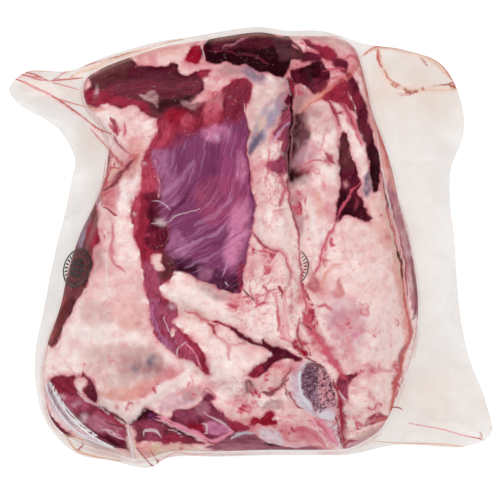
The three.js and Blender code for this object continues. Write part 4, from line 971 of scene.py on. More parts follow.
def bone_dome(x, y):
    """Share of the way out to the bone's edge, and the height there of its sawn face: a shallow dome
    that falls with the square of that share and leans."""
    turn = math.radians(BONE_TURN)
    dx, dy = x - BONE_CENTRE[0], y - BONE_CENTRE[1]
    u = (dx * math.cos(turn) + dy * math.sin(turn)) / BONE_HALF_LENGTH
    v = (dy * math.cos(turn) - dx * math.sin(turn)) / BONE_HALF_WIDTH
    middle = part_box("hip_bone")[1].z * 1000 - BONE_FALL
    lean = dx * BONE_LEAN[0] + dy * BONE_LEAN[1]
    return np.hypot(u, v), middle - BONE_CROWN * (u * u + v * v) - lean


def meat_height(x, y, share):
    """The meat's top: its solid form and fine relief, raised to a collar where it holds the bone."""
    height = smooth_height(x, y, share) + relief(x, y, share)
    out, dome = bone_dome(x, y)
    return height + smooth(1.8, 1.15, out) * np.maximum(dome - BONE_PROUD - height, 0)


def on_sheet(x, y, z):
    """The square of the drawing sheet under which a point lies, seen from the eye height."""
    grow = (EYE_HEIGHT - SHEET_HEIGHT) / (EYE_HEIGHT - z) / SQUARE
    return SHEET_MIDDLE + x * grow, SHEET_MIDDLE - y * grow


def nearest_stroke(strokes, x, y, reach=12.0):
    """Of each place: the distance to the nearest stroke over its half width there, once with the sign
    of the side and once without, and the stroke's strength and colour. Strokes thin out at both ends."""
    best = np.full(len(x), 40.0)
    signed, tone = best.copy(), np.zeros(len(x))
    tint = np.zeros((len(x), 3))
    for colour, half_width, strength, points in strokes:
        curve = open_curve(points, 5)
        low, high = curve.min(0) - reach, curve.max(0) + reach
        near = np.flatnonzero((x > low[0]) & (x < high[0]) & (y > low[1]) & (y < high[1]))
        if not len(near):
            continue
        off, side, along = path_distance(curve, x[near], y[near])
        width = half_width * (0.35 + 0.65 * np.sqrt(np.sin(np.pi * np.clip(along, 0.02, 0.98))))
        ratio = off / width
        closer = ratio < best[near]
        spot = near[closer]
        best[spot], signed[spot] = ratio[closer], (ratio * side)[closer]
        tone[spot] = strength
        tint[spot] = colour_of(colour)
    return signed, best, tone, tint


def wobbled(x, y):
    """The places moved a little way at random, so that nothing painted there has an even edge."""
    dx = 1.5 * lumps(x, y, 10, 31) + 0.7 * lumps(x, y, 4.5, 32) + 0.3 * lumps(x, y, 2.5, 33)
    dy = 1.5 * lumps(x, y, 10, 34) + 0.7 * lumps(x, y, 4.5, 35) + 0.3 * lumps(x, y, 2.5, 36)
    return x + dx, y + dy


def colour_of(name):
    """A named colour of the palette, as a linear triple."""
    return np.array(getattr(bpy.context.scene.lamb_palette, name))


def painted(tint, shades, dabs, x, y):
    """The tint with each shade laid over it, then each dab of colour."""
    mottled = 1 + 0.35 * lumps(x, y, 7, 41) + 0.25 * lumps(x, y, 3, 42)
    for colour, strength, soft, outline in shades:
        inside = inside_distance(outline, x, y) + 1.5 * (mottled - 1)
        share = np.clip(strength * mottled, 0, 1) * smooth(-0.7 * soft, 0.7 * soft, inside)
        share = share[:, None]
        tint = tint * (1 - share) + colour_of(colour) * share
    for dab in dabs:
        share = (np.clip(dab[-1] * mottled, 0, 1) * oval_share(dab, x, y))[:, None]
        tint = tint * (1 - share) + colour_of(dab[5]) * share
    return tint


def lean_depth(x, y):
    """Distance into the lean, negative outside it."""
    depth = np.full(len(x), -FAR)
    for _, _, outline in LEAN_PATCHES.values():
        depth = np.maximum(depth, inside_distance(outline, x, y))
    for outline in FAT_ISLANDS:
        depth = np.minimum(depth, -inside_distance(outline, x, y))
    return depth


def lean_paint(x, y):
    """The lean's colour by patches, each fading out over a few squares, the distance into the
    silver-skinned topside, and places along and across the fibres."""
    nearest = np.full(len(x), -FAR)
    weight = np.full(len(x), 1e-6)
    tint = np.tile(colour_of("crimson"), (len(x), 1)) * 1e-6
    angle = np.zeros(len(x))
    for colour, fibres, outline in LEAN_PATCHES.values():
        inside = inside_distance(outline, x, y)
        share = np.exp(-((np.minimum(inside, 0) / 2.5) ** 2)) * (inside > 0.1 - FAR)
        tint += colour_of(colour) * share[:, None]
        weight += share
        angle = np.where(inside > nearest, math.radians(fibres), angle)
        nearest = np.maximum(nearest, inside)
    silver = inside_distance(LEAN_PATCHES["topside"][2], x, y)
    steep = math.radians(28) + math.radians(44) * smooth(245, 145, y)
    angle = np.where(silver > -1, steep, angle)
    mm_x, mm_y = (x - TOPSIDE_MIDDLE[0]) * SQUARE, (TOPSIDE_MIDDLE[1] - y) * SQUARE
    along = mm_x * np.cos(angle) + mm_y * np.sin(angle)
    across = mm_y * np.cos(angle) - mm_x * np.sin(angle)
    grain = np.stack([along, across, np.zeros(len(x))], axis=1) * 0.001
    return painted(tint / weight[:, None], LEAN_SHADES, LEAN_DABS, x, y), silver, grain


def shared(least, dabs, x, y):
    """The strongest of the dabs at each place, and nowhere less than the least."""
    amount = np.full(len(x), least)
    for dab in dabs:
        amount = np.maximum(amount, dab[-1] * oval_share(dab, x, y))
    return amount


def seams(x, y):
    """Share from 0 to 1 of the seams between lobes of fat: where smooth random heights cross zero."""
    u, v = x + 5 * lumps(x, y, 15, 11), y + 5 * lumps(x, y, 15, 12)
    wide = 1 - smooth(0, 0.2, np.abs(lumps(u, v, 19, 13)))
    fine = 1 - smooth(0, 0.2, np.abs(lumps(u, v, 9, 14)))
    return shared(0.12, SEAM_DABS, x, y) * np.maximum(wide, 0.6 * fine)


def relief(x, y, share):
    """Fine form of the meat, in millimetres: lean lies a little lower than fat, both are lumpy, fat is
    parted by seams and grooves, and one layer lies on another with a step."""
    sheet_x, sheet_y = on_sheet(x, y, np.full_like(x, 50.0))
    sx, sy = wobbled(sheet_x.ravel(), sheet_y.ravel())
    lean = smooth(-1.5, 2.0, lean_depth(sx, sy))
    lumpy = 1.2 * lumps(sx, sy, 21, 3) + 0.8 * lumps(sx, sy, 10, 4) + 0.35 * lumps(sx, sy, 5, 5)
    height = lumpy * (1 - 0.6 * lean) - 1.1 * lean - 1.8 * seams(sx, sy) * (1 - lean)
    for rise, reach, path in LEDGES:
        off, side, along = path_distance(open_curve(path, 4), sx, sy)
        upper = smooth(-1.3, 1.3, off * side)
        step = upper * np.exp(-((off / reach) ** 2))
        step -= 0.7 * (1 - upper) * np.exp(-((off / (0.6 * reach)) ** 2))
        height += rise * step * np.sqrt(np.sin(np.pi * np.clip(along, 0.001, 0.999)))
    for deep, wide, path in GROOVES:
        off, _, along = path_distance(open_curve(path, 4), sx, sy)
        height -= deep * np.exp(-((off / wide) ** 2)) * np.sqrt(np.sin(np.pi * np.clip(along, 0.001, 0.999)))
    return height.reshape(x.shape) * (1 - smooth(0.93, 1, share))


def ring_shares(rings):
    """Shares of the way out for the top's rings, the first one just off the middle."""
    return np.sin(np.pi / 2 * (np.arange(1, rings + 1) / rings) ** RING_SPREAD)


def ring_piece(name, rings, first_pole, last_pole):
    """A closed mesh from rings of points (ring, step, 3) in millimetres, with a pole at either end."""
    count, steps = rings.shape[:2]
    points = np.vstack([[first_pole], rings.reshape(-1, 3), [last_pole]]) * 0.001
    points[:, :2] -= PACK_MIDDLE * 0.001
    here = 1 + np.arange(count * steps).reshape(count, steps)
    after = np.roll(here, -1, axis=1)
    quads = np.stack([here[:-1], here[1:], after[1:], after[:-1]], axis=-1).reshape(-1, 4)
    first = np.stack([np.zeros(steps, int), here[0], after[0]], axis=1)
    last = np.stack([np.full(steps, count * steps + 1), after[-1], here[-1]], axis=1)
    mesh = bpy.data.meshes.new(name)
    mesh.from_pydata(points.tolist(), [], first.tolist() + quads.tolist() + last.tolist())
    mesh.polygons.foreach_set("use_smooth", np.ones(len(mesh.polygons), bool))
    piece = bpy.data.objects.new(name, mesh)
    bpy.context.scene.collection.objects.link(piece)
    return piece


def put_number(piece, name, values):
    """Keeps one number for each point of the piece."""
    attribute = piece.data.attributes.new(name, "FLOAT", "POINT")
    attribute.data.foreach_set("value", np.asarray(values, np.float32))


def put_vector(piece, name, values):
    """Keeps three numbers for each point of the piece."""
    attribute = piece.data.attributes.new(name, "FLOAT_VECTOR", "POINT")
    attribute.data.foreach_set("vector", np.asarray(values, np.float32).ravel())


def points_of(piece):
    """The piece's points in millimetres, measured as the leg's sizes are."""
    flat = np.empty(len(piece.data.vertices) * 3, np.float32)
    piece.data.vertices.foreach_get("co", flat)
    points = flat.reshape(-1, 3).astype(float) * 1000
    points[:, :2] += PACK_MIDDLE
    return points


def put_strokes(piece, name, strokes, x, y):
    """Keeps what the shader needs to draw a family of strokes on the piece."""
    signed, best, tone, tint = nearest_stroke(strokes, x, y)
    put_number(piece, name + "_side", signed)
    put_number(piece, name + "_near", best)
    put_number(piece, name + "_tone", tone)
    put_vector(piece, name + "_tint", tint)


class Sock:
    """A shader socket that works in Python arithmetic: each operation adds its Math node."""

    def __init__(self, graph, socket):
        self.graph = graph
        self.socket = socket

    def __add__(self, other):
        return self.graph.math("ADD", self, other)

    __radd__ = __add__

    def __sub__(self, other):
        return self.graph.math("SUBTRACT", self, other)

    def __rsub__(self, other):
        return self.graph.math("SUBTRACT", other, self)

    def __mul__(self, other):
        return self.graph.math("MULTIPLY", self, other)

    __rmul__ = __mul__


class Graph:
    """The nodes of one material."""

    def __init__(self, name):
        self.material = bpy.data.materials.new(name)
        self.material.use_nodes = True
        self.tree = self.material.node_tree
        self.tree.nodes.clear()

    def node(self, kind, settings=None, inputs=None):
        """Adds a node: its settings first, then the values or links of its sockets."""
        node = self.tree.nodes.new(kind)
        for key, value in (settings or {}).items():
            setattr(node, key, value)
        for key, value in (inputs or {}).items():
            socket = node.inputs[key]
            if isinstance(value, Sock):
                self.tree.links.new(value.socket, socket)
            else:
                socket.default_value = value
        return node

    def out(self, node, key=0):
        """One of a node's results."""
        return Sock(self, node.outputs[key])

    def math(self, operation, *values):
        """A sum worked out by a Math node."""
        inputs = dict(enumerate(values))
        return self.out(self.node("ShaderNodeMath", {"operation": operation}, inputs))

    def vector(self, operation, a, b):
        return self.out(self.node("ShaderNodeVectorMath", {"operation": operation}, {0: a, 1: b}))

    def number(self, name):
        """A number kept in the mesh."""
        return self.out(self.node("ShaderNodeAttribute", {"attribute_name": name}), "Fac")

    def triple(self, name):
        """Three numbers kept in the mesh."""
        return self.out(self.node("ShaderNodeAttribute", {"attribute_name": name}), "Vector")

    def place(self):
        """Where each point lies on the piece, in metres."""
        return self.out(self.node("ShaderNodeTexCoord"), "Object")

    def noise(self, place, scale, detail=2.0, rough=0.5, swirl=0.0):
        inputs = {"Vector": place, "Scale": scale, "Detail": detail, "Roughness": rough, "Distortion": swirl}
        return self.out(self.node("ShaderNodeTexNoise", None, inputs), "Fac")

    def step(self, value, low, high):
        """Smooth step from 0 at low to 1 at high."""
        inputs = {"Value": value, "From Min": low, "From Max": high}
        return self.out(self.node("ShaderNodeMapRange", {"interpolation_type": "SMOOTHSTEP"}, inputs))

    def blend(self, share, a, b):
        """Colour b laid over colour a by the share."""
        solid = lambda colour: colour if isinstance(colour, Sock) else (*colour, 1.0)
        inputs = {0: share, 6: solid(a), 7: solid(b)}
        return self.out(self.node("ShaderNodeMix", {"data_type": "RGBA"}, inputs), 2)

    def stretched(self, vector, amounts):
        """A place or colour with each of its numbers multiplied."""
        return self.vector("MULTIPLY", vector, amounts)

    def strokes(self, name, wobble, soft=0.5):
        """Share from 0 to 1 of the strokes kept under a name, with a wobble on their width."""
        side = self.math("ABSOLUTE", self.number(name + "_side"))
        far = self.math("MAXIMUM", side, self.number(name + "_near") - 1.6)
        return (1 - self.step(far + wobble, 1 - soft, 1 + soft)) * self.number(name + "_tone")

    def stroked(self, colour, name, wobble, soft=0.5):
        """The colour with a family of strokes laid over it."""
        return self.blend(self.strokes(name, wobble, soft), colour, self.triple(name + "_tint"))

    def bump(self, height, strength, distance):
        inputs = {"Height": height, "Strength": strength, "Distance": distance}
        return self.out(self.node("ShaderNodeBump", None, inputs))

    def finish(self, inputs):
        """Ends in one Principled shader with these sockets."""
        shader = self.node("ShaderNodeBsdfPrincipled", None, inputs)
        output = self.node("ShaderNodeOutputMaterial")
        self.tree.links.new(shader.outputs[0], output.inputs["Surface"])
        return self.material


def meat_material(palette):
    """Fat with pink clouds and hair-thin veins, lean with fibres and flecks of fat, a silver skin over
    the topside, and strokes of blood, sinew, painted glints, painted highlights and painted shade over all
    of them."""
    g = Graph("raw_lamb")
    place = g.place()
    cloud = g.noise(place, 70, 4, 0.6)
    patch = g.noise(place, 170, 3, 0.55)
    fine = g.noise(place, 480, 3, 0.6)
    edge = g.number("lean_depth") + (g.noise(place, 190, 3, 0.6) - 0.5) * 4 + (fine - 0.5) * 1.8

    fat = g.triple("fat_tint")
    pinker = g.stretched(fat, (0.95, 0.7, 0.72))
    lighter = g.stretched(fat, (1.12, 1.2, 1.2))
    fat = g.blend(g.step(cloud, 0.48, 0.72) * 0.55, fat, pinker)
    fat = g.blend(g.step(patch, 0.52, 0.76) * 0.6, fat, pinker)
    fat = g.blend(g.step(patch, 0.48, 0.28) * 0.6, fat, lighter)
    third = (1 / 3, 1 / 3, 1 / 3)
    brightness = g.node("ShaderNodeVectorMath", {"operation": "DOT_PRODUCT"}, {0: fat, 1: third})
    pale = g.step(g.out(brightness, "Value"), 0.1, 0.35)
    lobes = g.number("lobed") * pale
    hair = g.math("ABSOLUTE", g.noise(place, 62, 5, 0.62) - 0.5)
    fat = g.blend((1 - g.step(hair, 0.0, 0.022)) * g.step(patch, 0.4, 0.62) * 0.25, fat, palette.rose)
    ridge = g.math("ABSOLUTE", g.noise(place, 88, 4, 0.62) - 0.5)
    bloody = lobes * g.step(cloud, 0.3, 0.62)
    fat = g.blend((1 - g.step(ridge, 0.0, 0.13)) * bloody * 0.6, fat, palette.rose)
    fat = g.blend((1 - g.step(ridge, 0.0, 0.04)) * bloody * g.step(patch, 0.36, 0.6), fat, palette.rose_red)
    seam = g.number("seam") * (fine * 0.8 + 0.6) * pale
    fat = g.blend(g.step(seam, 0.08, 0.75) * 0.7, fat, palette.rose)
    fat = g.blend(g.step(seam, 0.45, 0.85) * 0.85 * g.step(patch, 0.3, 0.6), fat, palette.rose_red)
    swirl = g.number("marbled") * 0.3 - g.noise(place, 130, 6, 0.62, 0.9)
    fat = g.blend(g.step(swirl, -0.34, -0.16) * 0.65 * pale, fat, palette.rose)
    fat = g.blend(g.step(swirl, -0.25, -0.15) * 0.85 * pale, fat, palette.rose_red)
    fat = g.blend(g.step(swirl, -0.16, -0.07) * 0.85 * pale, fat, palette.crimson)
    halo = g.step(patch, 0.28, 0.55) * pale
    fat = g.blend(g.step(edge, -8.0, 0.0) * 0.55 * halo, fat, palette.rose)
    fat = g.blend(g.step(edge, -3.2, 0.4) * 0.7 * halo, fat, palette.rose_red)

    grain = g.triple("grain")
    streak = g.noise(g.stretched(grain, (110, 820, 1)), 1.0, 4, 0.65)
    band = g.noise(g.stretched(grain, (36, 240, 1)), 1.0, 3, 0.6)
    silver = g.step(g.number("silver_depth"), 0.0, 5.0)
    long_streak = g.noise(g.stretched(grain, (26, 430, 1)), 1.0, 4, 0.65)
    meaty = 1 - silver * 0.6
    lean = g.triple("lean_tint")
    deep = g.stretched(lean, (0.42, 0.2, 0.28))
    bright = g.stretched(lean, (1.6, 1.9, 1.8))
    lean = g.blend(g.step(streak, 0.5, 0.28) * 0.85 * meaty, lean, deep)
    lean = g.blend(g.step(band, 0.48, 0.3) * 0.6 * meaty, lean, deep)
    lean = g.blend(g.step(streak, 0.54, 0.74) * 0.5 * meaty, lean, bright)
    lean = g.blend(g.step(band, 0.54, 0.76) * 0.5, lean, bright)
    lean = g.blend(g.step(long_streak, 0.52, 0.7) * silver * 0.42, lean, palette.lilac)
    lean = g.blend(g.step(long_streak, 0.48, 0.32) * silver * 0.6, lean, palette.violet)
    lean = g.blend(g.step(patch, 0.46, 0.28) * 0.5 * meaty, lean, deep)
    flecks = g.step(fine, 0.56, 0.68) * g.step(patch, 0.5, 0.7)
    lean = g.blend(flecks * 0.5 * meaty, lean, g.blend(0.45, bright, palette.sinew))

    ragged = (fine - 0.5) * 1.3 + (patch - 0.5) * 3.0
    leanness = g.step(edge, -1.2, 1.0)
    colour = g.blend(leanness, fat, lean)
    colour = g.stroked(colour, "band", ragged, 0.9)
    near_line = 1 - g.step(g.number("line_near") + ragged, 0.8, 3.4)
    colour = g.blend(near_line * g.number("line_tone") * (1 - leanness) * 0.5, colour, palette.rose)
    colour = g.stroked(colour, "line", ragged, 0.8)

    height = cloud * 0.5 + patch * 0.25 + fine * 0.1 + streak * leanness * 0.3
    return g.finish({
        "Base Color": colour,
        "Roughness": g.step(cloud, 0.2, 0.8) * 0.2 + 0.2,
        "Specular IOR Level": 0.03,
        "Subsurface Weight": 0.1,
        "Subsurface Radius": (1.0, 0.35, 0.25),
        "Subsurface Scale": 0.003,
        "Normal": g.bump(height, 0.7, 0.0016),
    })


def ink_marks(g, ragged):
    """Share of printing ink: a double oval ring with plain ticks round it and plain bars across it."""
    spot = g.triple("stamp")
    parts = g.node("ShaderNodeSeparateXYZ", None, {0: spot})
    u, v, seen = (g.out(parts, key) for key in (0, 1, 2))
    out = g.math("SQRT", u * u + v * v)
    ring = 1 - g.step(g.math("ABSOLUTE", out - 0.95), 0.02, 0.07)
    turn = g.math("ARCTAN2", v, u)
    tick = g.step(g.math("SINE", turn * 26) + ragged, 0.0, 0.5)
    tick = tick * g.step(out, 0.62, 0.66) * g.step(out, 0.9, 0.84)
    bar = g.step(g.math("SINE", v * 24) + ragged, -0.2, 0.4) * 0.6 + 0.4
    middle = bar * g.step(out, 0.58, 0.52)
    return g.math("MAXIMUM", ring, g.math("MAXIMUM", tick, middle)) * seen


def film_material(palette):
    """Clear film that shows only as a faint veil, stronger where it is slack or pleated, with painted
    highlights and painted shade along its pleats, a pinkish painted shade along the meat's edge, rust-red
    juice dried in its creases and two ink stamps."""
    g = Graph("vacuum_film")
    place = g.place()
    patchy = g.noise(place, 45, 3)
    ragged = (g.noise(place, 500, 2) - 0.5) * 1.4
    veil = g.number("veil") * (g.step(patchy, 0.25, 0.75) * 0.3 + 0.85)
    # The pleat strokes hold painted highlights and painted shade on the film's pleats, and juice in its
    # creases.
    pleat = g.strokes("pleat", ragged, 0.7)
    ink = ink_marks(g, ragged * 0.6)
    warm = g.number("warm") * (g.step(patchy, 0.3, 0.7) * 0.5 + 0.5)
    colour = g.blend(warm, palette.film, palette.film_warm)
    colour = g.blend(g.step(g.number("rim"), 0.0, 0.5), colour, palette.rim)
    colour = g.blend(g.step(pleat, 0.0, 0.15), colour, g.triple("pleat_tint"))
    colour = g.blend(g.step(ink, 0.1, 0.4), colour, palette.ink)
    alpha = g.math("MAXIMUM", g.math("MAXIMUM", veil, pleat), ink * 0.85)
    return g.finish({
        "Base Color": colour,
        "Roughness": 0.2,
        "Specular IOR Level": 0.4,
        "Alpha": alpha,
        "Normal": g.bump(patchy, 0.3, 0.001),
    })


def bone_material(palette):
    """Sawn bone: a spongy middle full of small dark holes and a smooth pale rim."""
    g = Graph("sawn_bone")
    place = g.place()
    holes = g.noise(place, 460, 3, 0.7)
    small = g.noise(place, 1500, 2, 0.6)
    spongy = g.step(g.number("spongy") + (holes - 0.5) * 0.8, 0.35, 0.6)
    base = g.triple("bone_tint")
    grain = holes + (small - 0.5) * 0.6 - g.number("dense") * 0.1
    colour = g.blend(g.step(grain, 0.54, 0.45) * spongy * 0.7, base, palette.mauve_red)
    colour = g.blend(g.step(grain, 0.48, 0.4) * spongy * 0.95, colour, palette.marrow)
    colour = g.blend(g.step(small, 0.58, 0.72) * spongy * 0.5, colour, palette.pearl)
    return g.finish({
        "Base Color": colour,
        "Roughness": 0.4,
        "Specular IOR Level": 0.3,
        "Normal": g.bump(holes, 0.5, 0.0008),
    })


def colour_property(name, description, value):
    return FloatVectorProperty(
        name=name, description=description, default=value, subtype="COLOR", size=3, min=0.0, max=1.0)


class LambPalette(bpy.types.PropertyGroup):
    """Colours of the fat, the lean, the bone and the film."""

    __annotations__ = {
        key: colour_property(key.replace("_", " ").capitalize(), use, srgb(*levels))
        for key, (use, *levels) in PALETTE.items()
    }


class LambMeat(bpy.types.PropertyGroup):
    """Fineness of the meat's mesh."""

    steps: IntProperty(
        name="Steps", description="Steps between two stations of the outline", default=12, min=2)
    rings: IntProperty(name="Rings", description="Rings of the shown side", default=150, min=10)
    sink: FloatProperty(
        name="Sink", description="How far the meat lies under the film", default=0.0006, unit="LENGTH")


class LambFilm(bpy.types.PropertyGroup):
    """Look and fineness of the film."""

    steps: IntProperty(
        name="Steps", description="Steps between two stations of the outline", default=10, min=2)
    rings: IntProperty(name="Rings", description="Rings over the meat", default=96, min=10)
    margin_rings: IntProperty(
        name="Margin rings", description="Rings of the empty margin", default=40, min=4)
    gap: FloatProperty(name="Gap", description="Film above the meat", default=0.00035, unit="LENGTH")
    tight_veil: FloatProperty(
        name="Tight veil", description="Whiteness of film on the meat", default=0.001, subtype="FACTOR")
    slack_veil: FloatProperty(
        name="Slack veil", description="Whiteness of one ply in the margin", default=0.24, subtype="FACTOR")


class LambStage(bpy.types.PropertyGroup):
    """Floor, lights and camera."""

    floor_colour: colour_property("Floor", "Plain pale floor", (0.25, 0.25, 0.25))
    floor_glow: FloatProperty(name="Floor glow", description="Light of the white floor itself", default=0.86)
    sky: FloatProperty(name="Sky", description="Even light from all round", default=0.24)
    lens: FloatProperty(name="Lens", description="Focal length of the camera in millimetres", default=200.0)


class LAMB_OT_meat(bpy.types.Operator):
    """Builds the leg's meat and paints its fat and lean"""

    bl_idname = "lamb.meat"
    bl_label = "Leg of lamb"

    def execute(self, context):
        settings = context.scene.lamb_meat
        outline = Outline(settings.steps)
        sink = settings.sink * 1000
        shares = ring_shares(settings.rings)
        top = outline.ring(shares)
        share = np.broadcast_to(shares[:, None], top.shape[:2])
        height = meat_height(top[..., 0], top[..., 1], share)
        angles = np.pi / 2 * np.arange(1, SIDE_RINGS + 1) / SIDE_RINGS
        side = outline.ring(FOOT_SHARE + (1 - FOOT_SHARE) * np.cos(angles))
        low = np.broadcast_to((RIM_HEIGHT * (1 - np.sin(angles)))[:, None], side.shape[:2])
        rings = np.concatenate([
            np.dstack([top, height - sink]),
            np.dstack([side, np.maximum(low, sink)]),
        ])
        rings[..., :2] += (CENTRE - rings[..., :2]) * MEAT_SHRINK
        pole = (*CENTRE, rings[0, :, 2].mean())
        piece = ring_piece("leg_meat", rings, pole, (*CENTRE, sink))
        self.paint(piece)
        piece.data.materials.append(meat_material(context.scene.lamb_palette))
        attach(piece, "root")
        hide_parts("leg_of_lamb")
        return {"FINISHED"}

    def paint(self, piece):
        """Keeps in the mesh where fat, lean, fibres and strokes lie."""
        points = points_of(piece)
        x, y = wobbled(*on_sheet(*points.T))
        tint, silver, grain = lean_paint(x, y)
        cream = np.tile(colour_of("cream"), (len(x), 1))
        put_number(piece, "lean_depth", lean_depth(x, y))
        put_number(piece, "silver_depth", silver)
        put_number(piece, "seam", seams(x, y))
        put_number(piece, "lobed", shared(0.2, SEAM_DABS, x, y))
        put_number(piece, "marbled", shared(0.32, MARBLE_DABS, x, y))
        put_vector(piece, "lean_tint", tint)
        put_vector(piece, "fat_tint", painted(cream, FAT_SHADES, FAT_DABS, x, y))
        put_vector(piece, "grain", grain)
        put_strokes(piece, "band", BANDS, x, y)
        put_strokes(piece, "line", LINES, x, y)


class LAMB_OT_bone(bpy.types.Operator):
    """Builds the sawn end of the hip bone"""

    bl_idname = "lamb.bone"
    bl_label = "Hip bone"

    def execute(self, context):
        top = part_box("hip_bone")[1].z * 1000
        turn = math.radians(BONE_TURN)
        steps = np.arange(BONE_STEPS) / BONE_STEPS * 2 * np.pi
        face = np.sin(np.linspace(0.03, 1, BONE_RINGS) * np.pi / 2)
        out = np.concatenate([face, [1.0, 0.9, 0.7]])
        drop = np.concatenate([-BONE_CROWN * face**2, [-8.0, -18.0, -26.0]])
        edge = 1 + 0.06 * np.sin(3 * steps + 1) + 0.04 * np.sin(7 * steps)
        u = BONE_HALF_LENGTH * out[:, None] * np.cos(steps) * edge
        v = BONE_HALF_WIDTH * out[:, None] * np.sin(steps) * edge
        x = BONE_CENTRE[0] + u * math.cos(turn) - v * math.sin(turn)
        y = BONE_CENTRE[1] + u * math.sin(turn) + v * math.cos(turn)
        lean = (x - BONE_CENTRE[0]) * BONE_LEAN[0] + (y - BONE_CENTRE[1]) * BONE_LEAN[1]
        z = top - BONE_FALL + drop[:, None] - lean
        z += 0.5 * lumps(x, y, 1.6, 8) * smooth(0.9, 0.7, out)[:, None]
        rings = np.dstack([x, y, z])
        piece = ring_piece("hip_bone_end", rings, rings[0].mean(0), rings[-1].mean(0))
        sheet_x, sheet_y = on_sheet(*points_of(piece).T)
        marrow = np.tile(colour_of("mauve_grey"), (len(sheet_x), 1))
        put_vector(piece, "bone_tint", painted(marrow, BONE_SHADES, [], sheet_x, sheet_y))
        put_number(piece, "dense", shared(0, DENSE_DABS, sheet_x, sheet_y))
        put_number(piece, "spongy", smooth(-2.5, 2.5, inside_distance(SPONGY, sheet_x, sheet_y)))
        piece.data.materials.append(bone_material(context.scene.lamb_palette))
        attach(piece, "root")
        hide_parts("hip_bone")
        return {"FINISHED"}


